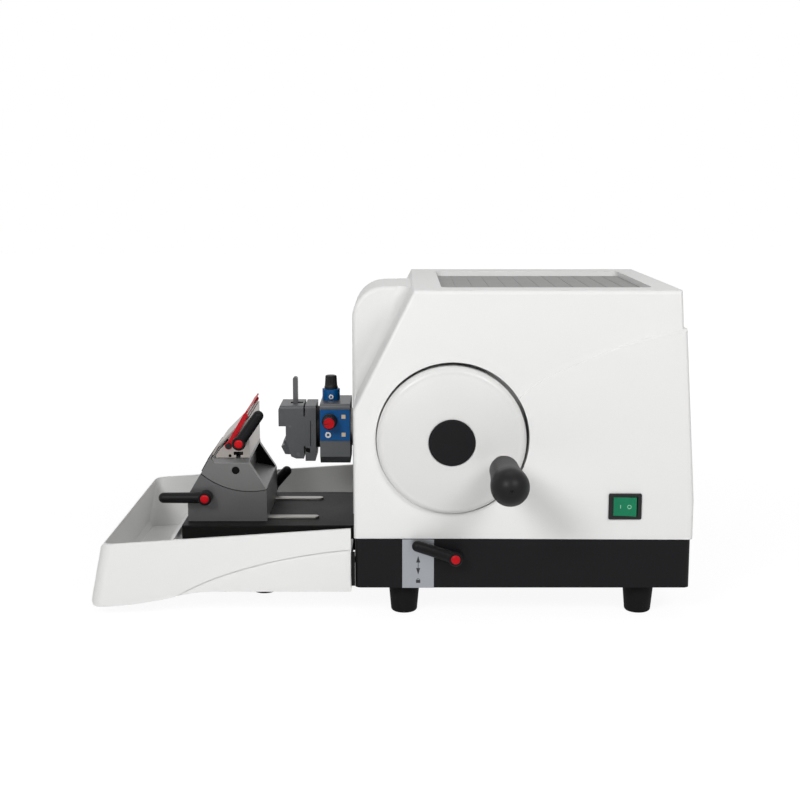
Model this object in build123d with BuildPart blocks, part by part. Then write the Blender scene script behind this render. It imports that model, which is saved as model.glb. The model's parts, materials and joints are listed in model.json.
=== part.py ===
from build123d import *
import os
from math import atan2, cos, degrees, radians, sin, sqrt

# Rotary microtome, a hand-cranked bench instrument that cuts thin sections from a wax block.
# Frame: +X towards the back of the housing, -Y towards the handwheel, +Z up.
# The origin lies on the bench under the middle of the instrument.

# Fits and gaps
running_fit = 0.05          # radial, shaft in its bearing
slip_gap = 0.3              # between flat faces that slide past each other
seat_gap = 0.1              # radial, screw or pin in its own casting
moulding_gap = 0.5          # trim piece in its cut-out

# Base casting
near_y = -107.0             # handwheel side
body_width = 300.0
far_y = near_y + body_width
mid_y = (near_y + far_y) / 2
base_front_x = -34.0
base_length = 326.6
base_back_x = base_front_x + base_length
foot_height = 30.4
base_height = 48.6
base_wall = 4.0
base_floor = 8.0
base_corner = 6.0
base_z = foot_height
floor_z = base_z + base_floor
base_top_z = base_z + base_height
base_mid_x = (base_front_x + base_back_x) / 2
post_radius = 9.0
post_inset = 12.0
screw_radius = 2.5
screw_head_radius = 4.5
screw_head_height = 3.0
screw_reach = 14.0

# Feet
foot_top_radius = 15.5
foot_bottom_radius = 13.0
foot_round = 3.0
foot_front_x = 14.0
foot_back_inset = 46.1
foot_side_inset = 25.0
foot_back_x = base_back_x - foot_back_inset
foot_spread = body_width / 2 - foot_side_inset
tongue_foot_x = -131.0
tongue_foot_spread = 62.0

# Tongue that carries the blade holder
tongue_front_x = -214.5
tongue_width = 150.0
tongue_top_z = 73.0
tongue_thickness = 26.0
tongue_wall = 7.0
tongue_corner = 3.0
tongue_z = tongue_top_z - tongue_thickness
tee_neck = 10.0
tee_width = 18.0
tee_depth = 12.0
tee_lip = 5.0
rail_spread = 41.5
rail_width = 10.0
rail_proud = 2.0
rail_sunk = 2.0
rail_front_x = -206.0
rail_back_x = -75.0
tee_slot_end_x = -140.0     # just behind the travel of the tee nut

# Housing shell
shell_wall = 4.0
shell_lift = 0.3            # seam above the base casting
shell_z = base_top_z + shell_lift
shell_top_z = 320.7
shell_front_proud = 1.0
shell_front_x = base_front_x - shell_front_proud
shell_side_inset = 1.5
crease_drop = 115.2
crease_z = shell_top_z - crease_drop
shoulder_x = 23.0
top_back_inset = 15.3
shell_top_back_x = base_back_x - top_back_inset
shell_edge_round = 4.0
side_y0 = near_y + shell_side_inset
side_y1 = far_y - shell_side_inset
swoosh_rise = 3.5
swoosh_bevel = 0.6          # rise of the edge for each mm that it stands proud
swoosh_bends = [(0.153, 0.329), (0.382, 0.575), (0.611, 0.781), (0.828, 0.924)]
swoosh_back_inset = 10.1
swoosh_back_drop = 38.7
swoosh_back_x = base_back_x - swoosh_back_inset
swoosh_back_z = shell_top_z - swoosh_back_drop
back_knee_rise = 38.7
back_knee_z = shell_z + back_knee_rise
back_proud = 1.4
back_x = base_back_x + back_proud
nose_proud = 5.0
nose_x = base_front_x - nose_proud
nose_drop = 3.7
nose_top_z = shell_top_z - nose_drop
nose_width = 106.0
nose_top_round = 33.0
nose_edge_round = 5.0
nose_blend = 13.0
nose_y0 = mid_y - nose_width / 2
nose_y1 = mid_y + nose_width / 2
slot_height = 114.0
slot_half_width = 21.5

# Recess for tools in the top and its ribbed mat
recess_x0 = 50.0
recess_back_inset = 37.6
recess_near_inset = 37.0
recess_far_inset = 43.0
recess_x1 = base_back_x - recess_back_inset
recess_y0 = near_y + recess_near_inset
recess_y1 = far_y - recess_far_inset
recess_corner = 8.0
mat_thickness = 2.0
mat_depth = 4.8             # rim to mat
mat_rib_pitch = 17.0
mat_rib_width = 1.6
mat_rib_height = 0.4
recess_depth = mat_depth + mat_thickness

# Handwheel on the main shaft
wheel_x = 59.3
wheel_z = 177.1
wheel_radius = 72.0
wheel_gap = 2.0
well_shift = 1.1            # well centre up and back from the shaft
well_wall = 3.0
well_depth = 34.0
wheel_rim_depth = 24.0
wheel_rim_round = 7.0
wheel_hub_radius = 24.0
wheel_hub_proud = 14.5      # hub face in front of the housing side
wheel_face_drop = 3.2
wheel_web = 6.0
cap_radius = 22.0
cap_height = 3.5
shaft_radius = 10.0
grip_angle = -24.4
grip_inset = 19.0           # wheel rim to grip axis
grip_pitch_radius = wheel_radius - grip_inset
grip_base_radius = 14.0
grip_ball_radius = 17.5
grip_length = 88.0
grip_tip_y = -228.0
grip_pin_radius = 5.0
grip_collar_radius = 9.0
grip_x = wheel_x + grip_pitch_radius * cos(radians(grip_angle))
grip_z = wheel_z + grip_pitch_radius * sin(radians(grip_angle))
hub_y = near_y - wheel_hub_proud
well_back_y = side_y0 + well_depth
swoosh_start_x = wheel_x    # the sides stand proud from here to the back
swoosh_rim_x = wheel_x + 58.7
swoosh_rim_z = wheel_z + 30.1

# Crank, brake and bearing frame inside the housing
crank_radius = 46.0
crank_thickness = 10.0
crank_throw = 35.0
roller_radius = 8.0
roller_length = 8.5
bearing_radius = 17.0
drum_radius = 30.0
drum_width = 10.0
frame_wall = 10.0
frame_foot = 8.0
frame_reach = 44.0          # wheel axis to the back end of the frame's foot
frame_front = 18.0
sleeve_radius = 23.0
drum_y0 = well_back_y + 1.5
drum_y1 = drum_y0 + drum_width
sleeve_y0 = drum_y1 + 1.0
crank_pin_x = wheel_x + crank_throw * cos(radians(grip_angle))
arm_z = wheel_z + crank_throw * sin(radians(grip_angle))

# Vertical slide that carries the specimen arm
slide_front_x = -14.0
slide_length = 40.0
slide_back_x = slide_front_x + slide_length
slide_half_width = 46.0
slide_height = 80.0
stroke_up = 49.5
stroke_down = 20.5
guide_radius = 7.0
guide_spread = 34.0
guide_x = 0.0
bridge_drop = 61.7
bridge_z = shell_top_z - bridge_drop
bridge_thickness = 12.0
strut_x = 8.0
strut_width = 12.0
shield_x = -27.5
shield_thickness = 1.5
shield_half_width = 28.0
yoke_thickness = 8.0
yoke_border = 8.0
crank_y1 = mid_y - slide_half_width - yoke_thickness - roller_length - 0.5
crank_y0 = crank_y1 - crank_thickness
sleeve_y1 = crank_y0 - 1.0

# Specimen arm and feed drive
arm_radius = 20.0
arm_front_x = -42.4
arm_back_x = 40.0
feed_travel = 14.0
screw_lead_radius = 5.0
screw_back_x = 72.0
nut_length = 10.0
motor_size = 42.0
motor_length = 38.0
motor_plate = 4.0
bracket_spread = 24.0

# Specimen head
head_front_x = -74.0
head_back_x = arm_front_x
head_half_width = 31.3
head_z0 = 128.0
head_z1 = 192.0
head_chamfer = 8.0
head_top_round = 4.0
head_dome_radius = 27.0
head_dome_gap = 0.4
head_pocket_radius = 25.5
head_pocket_depth = 3.6
head_bore = 19.0
pivot_x = (head_front_x + head_back_x) / 2
plate_thickness = 2.2
plate_x0 = -73.8
plate_x1 = -42.6
plate_z0 = 153.6
plate_z1 = 186.2
knob_x = -63.5
side_knob_z = 174.6
side_knob_radius = 8.0
side_knob_length = 15.0
side_cap_radius = 5.7
top_knob_radius = 6.6
top_knob_height = 14.0
collar_radius = 9.3
collar_height = 11.8
gimbal_radius = 16.5
gimbal_bore = 11.5
gimbal_half_depth = 4.5
gimbal_pin_radius = 2.5
stem_radius = 5.5

# Cassette clamp
clamp_neck_radius = 22.2
back_plate_x0 = -90.0
back_plate_x1 = -78.7
clamp_half_width = 23.5
clamp_z0 = 129.8
clamp_z1 = 188.7
clamp_front_x = -118.0
clamp_face_x = -110.5
clamp_back_x = -91.6
clamp_lip_z = 167.0
jaw_top_z = 151.0
jaw_pin_x = -97.5
jaw_pin_z = 137.1
jaw_pin_radius = 2.0
jaw_half_width = 16.0
clamp_lever_x = -101.4
clamp_lever_top_z = 216.6
clamp_lever_thickness = 5.0
clamp_lever_width = 9.0
clamp_lever_pivot_z = 181.0

# Blade holder
edge_x = -144.8             # blade edge, the axis of the clearance tilt
edge_z = 182.8
holder_half_width = 59.0
holder_front_x = -210.0
holder_back_x = -128.0
holder_z = tongue_top_z + slip_gap
holder_shoulder_z = 100.5
arc_radius = 78.3
arc_gap = 0.8               # open line between the holder and the tilting segment
segment_top_z = 139.2
segment_front_x = -184.9
segment_chamfer = 4.0
carrier_half_width = 53.0
carrier_front_x = -180.6
carrier_gap = 0.3
blade_angle = 45.0
blade_width = 8.0
blade_thickness = 0.3
blade_length = 80.0
plate_length = 47.5
plate_leg = 9.5
plate_leg_angle = 60.0
pressure_thickness = 1.8
pressure_pivot = 31.0
relief_start = 23.0
relief_depth = 2.2
hinge_depth = 4.5
hinge_width = 6.0
hinge_spread = 42.0
hinge_pin_radius = 1.5
hinge_lug_radius = 3.8
slot_bar_width = 9.7
slot_bar_height = 3.5
slot_neck_width = 4.6
slot_neck_height = 2.9
guard_pivot_x = -167.0
guard_pivot_z = 152.6
guard_bar_width = 9.0
guard_strip = 5.0
guard_clearance = 1.9       # guard bar to pressure plate, so that the plate can lift
guard_thickness = 2.3
guard_pin_radius = 3.0

# Clamping levers
lever_hub_radius = 7.0
lever_hub_height = 15.4
lever_bar_radius = 5.8
lever_tip_radius = 5.4
lever_button_radius = 4.4
lever_button_length = 4.0
lever_button_travel = 2.5
lever_shaft_radius = 4.0
lock_x = 63.5
lock_z = 62.8
lock_angle = 162.0
lock_length = 44.0
lock_plate_x0 = 12.1
lock_plate_width = 30.8
lock_plate_thickness = 0.8
segment_lever_x = -190.3
segment_lever_z = 100.7
segment_lever_length = 48.0
press_lever_x = -154.7
press_lever_z = 157.4
press_lever_angle = 54.8
press_lever_length = 40.0
foot_lever_x = -134.5
foot_lever_z = 80.6
foot_lever_angle = 47.6
foot_lever_length = 30.1
cam_radius = 9.0
cam_throw = 2.0
brake_travel = 1.2
brake_rod_radius = 5.0
brake_lug_z = 84.0

# Waste tray
tray_back_gap = 4.0
tray_back_x = base_front_x - tray_back_gap
tray_rim_back_z = 89.3
tray_rim_front_x = -278.0
tray_rim_front_z = 73.3
tray_lip_x = -284.0
tray_lip_z = 67.0
tray_tip_x = -294.0
tray_tip_z = 17.5
tray_low_x = -286.5
tray_low_z = 10.6
tray_wall = 3.5
tray_floor_z = 25.5
tray_bend_x = -171.0        # where the level floor ends
tray_sag_x = -225.0
tray_sag_z = 17.7
tray_corner = 14.0
tray_inner_corner = 8.5
tray_groove = 2.2
tray_notch_gap = 4.0
tray_notch_half = tongue_width / 2 + tray_notch_gap
tray_notch_x = -222.0
tray_inner_z = 60.0
tray_pin_radius = 3.0
tray_pin_z = 48.0
tray_pin_inset = 38.0
tray_pin_spread = body_width / 2 - tray_pin_inset

# Coarse feed wheel on the far side
feed_wheel_x = 45.0
feed_wheel_z = 150.0
feed_wheel_radius = 36.0
feed_wheel_proud = 35.0
feed_wheel_face_y = far_y + feed_wheel_proud
feed_wheel_width = 30.0
feed_shaft_radius = 5.0
feed_flute_radius = 4.0
encoder_size = 40.0
encoder_length = 18.0

# Switch, inlet and electronics
switch_back_inset = 65.3
switch_x = base_back_x - switch_back_inset
switch_z = 112.3
switch_width = 31.9
switch_height = 25.6
bezel_proud = 2.0
bezel_depth = 24.0
rocker_width = 23.2
rocker_height = 18.6
rocker_tilt = 7.0
rocker_pin_radius = 1.0
rocker_pin_reach = 1.0
inlet_side_inset = 43.0
inlet_rise = 23.6
inlet_y = far_y - inlet_side_inset
inlet_z = base_z + inlet_rise
inlet_flange_width = 50.0
inlet_flange_height = 27.0
inlet_flange = 1.4
inlet_width = 27.0
inlet_height = 20.0
inlet_depth = 24.0
socket_width = 24.0
socket_height = 16.4
socket_depth = 17.0
prong_length = 12.0
supply_length = 100.0
supply_width = 60.0
supply_height = 32.0
supply_back_inset = 112.6
supply_side_inset = 53.0
supply_x = base_back_x - supply_back_inset
supply_y = far_y - supply_side_inset
board_length = 110.0
board_width = 80.0
board_thickness = 1.6
board_shift = 23.0
board_x = (wheel_x + frame_reach + base_back_x - base_wall) / 2
board_y = mid_y - board_shift
standoff_height = 8.0
standoff_radius = 3.0


def side(y):
    """Plane seen from the handwheel side: local x along X, local y along Z, normal to -Y."""
    return Plane(origin=(0, y, 0), x_dir=(1, 0, 0), z_dir=(0, -1, 0))


def plan(z):
    """Plane seen from above."""
    return Plane.XY.offset(z)


def cross(x):
    """Plane across the instrument: local x along Y, local y along Z, normal to +X."""
    return Plane.YZ.offset(x)


def turned(x, z):
    """Plane for a profile turned about the Y axis through (x, z): local x is the radius."""
    return Plane(origin=(x, 0, z), x_dir=(1, 0, 0), z_dir=(0, 0, 1))


def y_axis(x, z):
    return Axis((x, 0, z), (0, 1, 0))


def round_bar(x, z, y0, y1, radius, mode=Mode.ADD):
    """Straight round bar along Y, added to the piece being built."""
    with BuildSketch(side(y0)) as bar:
        with Locations((x, z)):
            Circle(radius)
    extrude(bar.sketch, amount=y0 - y1, mode=mode)


def clamping_lever(x, z, seat_y, toward, angle, length, reach, button=True, cam=()):
    """Moulded lever with a hub turned about Y, a tapered round arm and a shaft into its casting.

    The button option sinks a pocket for a release button; cam gives the two depths of a cam disc.
    """
    arm_y = seat_y - toward * (lever_hub_height - lever_bar_radius - 0.5)
    face_y = seat_y - toward * lever_hub_height
    arm_plane = Plane(
        origin=(x, arm_y, z),
        x_dir=(cos(radians(angle)), 0, sin(radians(angle))),
        z_dir=(0, -1, 0),
    )
    with BuildPart() as lever:
        with BuildSketch(turned(x, z)):
            with BuildLine():
                Polyline(
                    (0, seat_y), (lever_hub_radius - 1.5, seat_y),
                    (lever_hub_radius, arm_y + toward * lever_bar_radius),
                    (lever_hub_radius, face_y + toward * 1.2),
                    (lever_hub_radius - 1.2, face_y), (0, face_y), close=True,
                )
            make_face()
        revolve(axis=y_axis(x, z))
        with BuildSketch(arm_plane):
            with BuildLine():
                Line((0, 0), (0, lever_bar_radius))
                Line((0, lever_bar_radius), (length - lever_tip_radius, lever_tip_radius))
                RadiusArc((length - lever_tip_radius, lever_tip_radius), (length, 0), lever_tip_radius)
                Line((length, 0), (0, 0))
            make_face()
        revolve(axis=Axis(arm_plane.origin, arm_plane.x_dir))
        round_bar(x, z, seat_y + toward * reach, seat_y, lever_shaft_radius)
        if button:
            pocket = face_y + toward * (lever_button_length + lever_button_travel)
            round_bar(x, z, face_y, pocket, lever_button_radius + 0.15, Mode.SUBTRACT)
        if cam:
            round_bar(x + cam_throw, z, cam[0], cam[1], cam_radius)
    return lever


def release_button(x, z, seat_y):
    """Red button in the hub of a clamping lever, a little proud of its face."""
    face_y = seat_y - lever_hub_height
    root_y = face_y + lever_button_length - 0.7
    with BuildPart() as button:
        with BuildSketch(turned(x, z)):
            with BuildLine():
                Line((0, root_y), (lever_button_radius, root_y))
                Polyline(
                    (lever_button_radius, root_y), (lever_button_radius, face_y),
                    (lever_button_radius - 1.2, face_y - 0.8), (0, face_y - 1.0), (0, root_y),
                )
            make_face()
        revolve(axis=y_axis(x, z))
    return button


# Base casting, a tub open at the top with posts for the housing screws
with BuildPart() as base_casting:
    with BuildSketch(plan(base_z)):
        with Locations((base_mid_x, mid_y)):
            RectangleRounded(base_length, body_width, base_corner)
    extrude(amount=base_height)
    with BuildSketch(plan(floor_z)):
        with Locations((base_mid_x, mid_y)):
            RectangleRounded(base_length - 2 * base_wall, body_width - 2 * base_wall, base_corner - base_wall)
    extrude(amount=base_height - base_floor, mode=Mode.SUBTRACT)
    post_pitch_x = base_length - 2 * post_inset
    post_pitch_y = body_width - 2 * post_inset
    with BuildSketch(plan(floor_z)):
        with Locations((base_mid_x, mid_y)):
            with GridLocations(post_pitch_x, post_pitch_y, 2, 2):
                Circle(post_radius)
    extrude(amount=base_height - base_floor)
    with BuildSketch(plan(base_z)):
        with Locations((base_mid_x, mid_y)):
            with GridLocations(post_pitch_x, post_pitch_y, 2, 2):
                Circle(screw_radius + seat_gap)
    extrude(amount=base_height, mode=Mode.SUBTRACT)
    with BuildSketch(plan(base_z)):
        with Locations((base_mid_x, mid_y)):
            with GridLocations(post_pitch_x, post_pitch_y, 2, 2):
                Circle(screw_head_radius + seat_gap)
    extrude(amount=screw_head_height + 1, mode=Mode.SUBTRACT)
    round_bar(
        lock_x, lock_z, near_y - 1, near_y + base_wall + 1, lever_shaft_radius + running_fit, Mode.SUBTRACT
    )
    # Two pins on which the waste tray hangs
    with BuildSketch(cross(base_front_x + 1)):
        with Locations((mid_y, tray_pin_z)):
            with GridLocations(2 * tray_pin_spread, 1, 2, 1):
                Circle(tray_pin_radius)
    extrude(amount=tray_back_x - tray_wall - 3 - base_front_x)
    with BuildSketch(cross(base_back_x - base_wall - 1)):
        with Locations((inlet_y, inlet_z)):
            Rectangle(inlet_width + 2 * seat_gap, inlet_height + 2 * seat_gap)
    extrude(amount=base_wall + 2, mode=Mode.SUBTRACT)
base_casting.part.label = "base_casting"

# Tongue in front of the base: cored underneath, tee slot and two rail grooves on top
with BuildPart() as knife_tongue:
    tongue_length = base_front_x - tongue_front_x
    tongue_mid_x = (base_front_x + tongue_front_x) / 2
    with BuildSketch(plan(tongue_z)):
        with Locations((tongue_mid_x, mid_y)):
            Rectangle(tongue_length, tongue_width)
    extrude(amount=tongue_thickness)
    fillet(knife_tongue.edges().filter_by(Axis.Z).group_by(Axis.X)[0], tongue_corner)
    fillet(knife_tongue.faces().sort_by(Axis.Z)[-1].edges().sort_by(Axis.X)[0], 1)
    core_width = (tongue_width - tee_width) / 2 - 2 * tongue_wall
    with BuildSketch(plan(tongue_z)):
        for place in (-1, 1):
            core_y = mid_y + place * (tee_width / 2 + tongue_wall + core_width / 2)
            with Locations((tongue_mid_x, core_y)):
                Rectangle(tongue_length - 2 * tongue_wall, core_width)
    extrude(amount=tongue_thickness - rail_sunk - tongue_wall, mode=Mode.SUBTRACT)
    with BuildSketch(plan(tongue_z)):
        with Locations((tongue_foot_x, mid_y)):
            with GridLocations(1, 2 * tongue_foot_spread, 1, 2):
                Circle(foot_top_radius - 4)
    extrude(amount=tongue_thickness - rail_sunk - tongue_wall)
    with BuildSketch(cross(tongue_front_x)):
        with Locations((mid_y, tongue_top_z - tee_depth / 2)):
            Rectangle(tee_neck, tee_depth)
        with Locations((mid_y, tongue_top_z - (tee_lip + tee_depth) / 2)):
            Rectangle(tee_width, tee_depth - tee_lip)
    extrude(amount=tee_slot_end_x - tongue_front_x, mode=Mode.SUBTRACT)
    with BuildSketch(plan(tongue_top_z - rail_sunk)):
        with Locations(((rail_front_x + rail_back_x) / 2, mid_y)):
            with GridLocations(1, 2 * rail_spread, 1, 2):
                SlotOverall(rail_back_x - rail_front_x + 2 * seat_gap, rail_width + 2 * seat_gap)
    extrude(amount=rail_sunk, mode=Mode.SUBTRACT)
knife_tongue.part.label = "knife_tongue"

# Two hardened rails let into the tongue
with BuildPart() as tongue_rails:
    with BuildSketch(plan(tongue_top_z - rail_sunk)):
        with Locations(((rail_front_x + rail_back_x) / 2, mid_y)):
            with GridLocations(1, 2 * rail_spread, 1, 2):
                SlotOverall(rail_back_x - rail_front_x, rail_width)
    extrude(amount=rail_sunk + rail_proud)
    chamfer(tongue_rails.faces().filter_by(Axis.Z).group_by(Axis.Z)[-1].edges(), 0.6)
tongue_rails.part.label = "tongue_rails"


def rubber_foot(x, y, height):
    """Tapered foot with a rounded sole, turned about its own upright axis."""
    axis = Axis((x, y, 0), (0, 0, 1))
    with BuildPart() as foot:
        with BuildSketch(Plane(origin=(x, y, 0), x_dir=(1, 0, 0), z_dir=(0, -1, 0))):
            with BuildLine():
                Line((0, 0), (foot_bottom_radius - foot_round, 0))
                RadiusArc((foot_bottom_radius - foot_round, 0), (foot_bottom_radius, foot_round), -foot_round)
                Line((foot_bottom_radius, foot_round), (foot_top_radius, height))
                Line((foot_top_radius, height), (0, height))
                Line((0, height), (0, 0))
            make_face()
        revolve(axis=axis)
    return foot.part


with BuildPart() as rubber_feet:
    for foot_x in (foot_front_x, foot_back_x):
        for foot_y in (mid_y - foot_spread, mid_y + foot_spread):
            add(rubber_foot(foot_x, foot_y, foot_height))
    for foot_y in (mid_y - tongue_foot_spread, mid_y + tongue_foot_spread):
        add(rubber_foot(tongue_foot_x, foot_y, tongue_z))
rubber_feet.part.label = "rubber_feet"

# Housing shell
slope_x = shoulder_x - shell_front_x
slope_z = shell_top_z - crease_z
slope_length = sqrt(slope_x**2 + slope_z**2)
back_lean = (back_x - swoosh_back_x) / (swoosh_back_z - back_knee_z)
plain_back_x = back_x - swoosh_rise


def shell_outline():
    """Side view of the housing: upright front, sloping shoulder, level top, leaning back."""
    with BuildLine() as line:
        Polyline(
            (shell_front_x, shell_z), (shell_front_x, crease_z), (shoulder_x, shell_top_z),
            (shell_top_back_x, shell_top_z), (plain_back_x, back_knee_z), (plain_back_x, shell_z), close=True,
        )
    return line.edges()


def nose_outline():
    """Side view of the middle column that encloses the travel of the arm."""
    with BuildLine() as line:
        Line((nose_x, shell_z), (nose_x, nose_top_z - nose_top_round))
        RadiusArc(
            (nose_x, nose_top_z - nose_top_round), (nose_x + nose_top_round, nose_top_z), nose_top_round
        )
        Line((nose_x + nose_top_round, nose_top_z), (wheel_x, nose_top_z))
        Line((wheel_x, nose_top_z), (wheel_x, shell_z))
        Line((wheel_x, shell_z), (nose_x, shell_z))
    return line.edges()


def prism(outline, y0, y1, inset=0.0, rim=0.0):
    """Solid with the given side view between two depths, drawn in by an inset or rounded at its rims."""
    with BuildPart() as solid:
        with BuildSketch(side(y0)):
            make_face(outline)
            if inset:
                offset(amount=-inset, kind=Kind.INTERSECTION, mode=Mode.REPLACE)
        extrude(amount=y0 - y1)
        if rim:
            rims = solid.edges().filter_by(Axis.Y, reverse=True)
            fillet(rims.filter_by(lambda edge: edge.center().Z > shell_z + 1), rim)
    return solid.part


# Swoosh: the lower back part of both sides and of the back stands proud in a soft ramp
with BuildPart() as swoosh_ramp:
    with BuildSketch(plan(shell_z)) as ramp_plan:
        Polygon(
            (swoosh_start_x, side_y0), (back_x, side_y0 - swoosh_rise),
            (back_x, side_y1 + swoosh_rise), (swoosh_start_x, side_y1), align=None,
        )
        fillet(ramp_plan.vertices().group_by(Axis.X)[-1], shell_edge_round)
    extrude(amount=back_knee_z - shell_z)
    leaning_height = (shell_top_z - back_knee_z) * sqrt(1 + back_lean**2)
    extrude(swoosh_ramp.faces().sort_by(Axis.Z)[-1], amount=leaning_height, dir=(-back_lean, 0, 1))


def swoosh_outline(lift):
    """Side view of the part that stands proud, with its upper edge raised by a lift."""
    edge_points = [
        (
            swoosh_rim_x + along * (swoosh_back_x - swoosh_rim_x),
            swoosh_rim_z + up * (swoosh_back_z - swoosh_rim_z) + lift,
        )
        for along, up in [(0.0, 0.0)] + swoosh_bends + [(1.0, 1.0)]
    ]
    with BuildLine() as line:
        Spline(*edge_points)
        Polyline(
            edge_points[-1], (back_x, back_knee_z), (back_x, shell_z), (swoosh_start_x, shell_z),
            (swoosh_start_x, wheel_z), edge_points[0],
        )
    return line.edges()


swoosh_sunk = 0.5
swoosh_lift = swoosh_bevel * (swoosh_rise + swoosh_sunk)
with BuildPart() as swoosh:
    for outer_y, inner_y in (
        (side_y0 - swoosh_rise, side_y0 + swoosh_sunk), (side_y1 + swoosh_rise, side_y1 - swoosh_sunk)
    ):
        with BuildSketch(side(outer_y)):
            make_face(swoosh_outline(0.0))
        with BuildSketch(side(inner_y)):
            make_face(swoosh_outline(swoosh_lift))
        loft(ruled=True)
    with BuildSketch(side(side_y0 + swoosh_sunk)):
        make_face(swoosh_outline(swoosh_lift))
    extrude(amount=side_y0 - side_y1 + 2 * swoosh_sunk)
    add(swoosh_ramp.part, mode=Mode.INTERSECT)

# Concave blend where the sloping shoulder runs into the sides of the nose
blend_plane = Plane(
    origin=(shell_front_x, mid_y, crease_z),
    x_dir=(0, 1, 0),
    z_dir=(slope_x / slope_length, 0, slope_z / slope_length),
)
half_nose = nose_width / 2
with BuildPart() as nose_flare:
    with BuildSketch(blend_plane):
        for hand in (-1, 1):
            with BuildLine():
                Line((hand * (half_nose - 1), -1), (hand * (half_nose + nose_blend), -1))
                Line((hand * (half_nose + nose_blend), -1), (hand * (half_nose + nose_blend), 0))
                RadiusArc(
                    (hand * (half_nose + nose_blend), 0), (hand * half_nose, nose_blend), hand * nose_blend
                )
                Line((hand * half_nose, nose_blend), (hand * (half_nose - 1), nose_blend))
                Line((hand * (half_nose - 1), nose_blend), (hand * (half_nose - 1), -1))
            make_face()
    extrude(amount=slope_length, both=True)
    add(prism(nose_outline(), nose_y0 - nose_blend, nose_y1 + nose_blend), mode=Mode.INTERSECT)
    with BuildSketch(cross(shell_front_x)):
        with Locations((mid_y, shell_top_z / 2)):
            Rectangle(2 * body_width, 2 * shell_top_z)
    extrude(amount=nose_x - shell_front_x, mode=Mode.SUBTRACT)

with BuildPart() as housing_shell:
    add(prism(shell_outline(), side_y0, side_y1, rim=shell_edge_round))
    add(swoosh.part)
    add(prism(nose_outline(), nose_y0, nose_y1, rim=nose_edge_round))
    add(nose_flare.part)
    add(prism(shell_outline(), side_y0 + shell_wall, side_y1 - shell_wall, shell_wall), mode=Mode.SUBTRACT)
    add(prism(nose_outline(), nose_y0 + shell_wall, nose_y1 - shell_wall, shell_wall), mode=Mode.SUBTRACT)
    mouth_x0 = shell_front_x + shell_wall
    mouth_x1 = plain_back_x - shell_wall
    with BuildSketch(plan(shell_z)):
        with Locations(((mouth_x0 + mouth_x1) / 2, mid_y)):
            Rectangle(mouth_x1 - mouth_x0, side_y1 - side_y0 - 2 * shell_wall)
        with Locations(((nose_x + shell_wall + mouth_x0) / 2, mid_y)):
            Rectangle(mouth_x0 - nose_x - shell_wall + 1, nose_width - 2 * shell_wall)
    extrude(amount=shell_wall + 1, mode=Mode.SUBTRACT)
    # Pan of the top recess
    with BuildSketch(plan(shell_top_z - recess_depth - shell_wall)):
        with Locations(((recess_x0 + recess_x1) / 2, (recess_y0 + recess_y1) / 2)):
            Rectangle(recess_x1 - recess_x0 + 2 * shell_wall, recess_y1 - recess_y0 + 2 * shell_wall)
    extrude(amount=recess_depth)
    with BuildSketch(plan(shell_top_z - recess_depth)):
        with Locations(((recess_x0 + recess_x1) / 2, (recess_y0 + recess_y1) / 2)):
            RectangleRounded(recess_x1 - recess_x0, recess_y1 - recess_y0, recess_corner)
    extrude(amount=recess_depth, mode=Mode.SUBTRACT)
    # Well round the handwheel
    well_radius = wheel_radius + wheel_gap
    well_x = wheel_x + well_shift
    well_z = wheel_z + well_shift
    round_bar(well_x, well_z, side_y0 + 1, well_back_y, well_radius + well_wall)
    round_bar(
        well_x, well_z, side_y0 - swoosh_rise - 1, well_back_y - well_wall, well_radius, Mode.SUBTRACT
    )
    round_bar(wheel_x, wheel_z, side_y0, well_back_y + 1, shaft_radius + 4, Mode.SUBTRACT)
    # Slot for the arm in the nose
    with BuildSketch(cross(nose_x - 1)):
        with Locations((mid_y, arm_z + (stroke_up - stroke_down) / 2)):
            RectangleRounded(2 * slot_half_width, slot_height, slot_half_width - 1)
    extrude(amount=shell_wall + 2, mode=Mode.SUBTRACT)
    # Bore for the shaft of the coarse feed wheel
    round_bar(
        feed_wheel_x, feed_wheel_z, side_y1 - shell_wall - 1, side_y1 + 1, feed_shaft_radius + 1,
        Mode.SUBTRACT,
    )
    # Cut-out for the power switch
    with BuildSketch(side(side_y0 - swoosh_rise - 1)):
        with Locations((switch_x, switch_z)):
            Rectangle(switch_width - 3, switch_height - 3)
    extrude(amount=-(shell_wall + swoosh_rise + 2), mode=Mode.SUBTRACT)
    # Bosses above the posts of the base casting
    with BuildSketch(plan(shell_z)):
        with Locations((base_mid_x, mid_y)):
            with GridLocations(post_pitch_x, post_pitch_y, 2, 2):
                Circle(post_radius - 1)
    extrude(amount=screw_reach + 6)
    with BuildSketch(plan(shell_z)):
        with Locations((base_mid_x, mid_y)):
            with GridLocations(post_pitch_x, post_pitch_y, 2, 2):
                Circle(screw_radius + seat_gap)
    extrude(amount=screw_reach + 1, mode=Mode.SUBTRACT)
housing_shell.part.label = "housing_shell"

# Ribbed mat in the top recess
with BuildPart() as top_mat:
    mat_z = shell_top_z - recess_depth
    mat_width = recess_y1 - recess_y0 - 2 * moulding_gap
    with BuildSketch(plan(mat_z)):
        with Locations(((recess_x0 + recess_x1) / 2, (recess_y0 + recess_y1) / 2)):
            RectangleRounded(recess_x1 - recess_x0 - 2 * moulding_gap, mat_width, recess_corner)
    extrude(amount=mat_thickness - mat_rib_height)
    rib_count = int((recess_x1 - recess_x0 - 2 * recess_corner) / mat_rib_pitch)
    with BuildSketch(plan(mat_z + mat_thickness - mat_rib_height)):
        with Locations(((recess_x0 + recess_x1) / 2, (recess_y0 + recess_y1) / 2)):
            with GridLocations(mat_rib_pitch, 1, rib_count, 1):
                SlotOverall(mat_width - 2 * recess_corner, mat_rib_width, rotation=90)
    extrude(amount=mat_rib_height)
top_mat.part.label = "top_mat"

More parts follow.
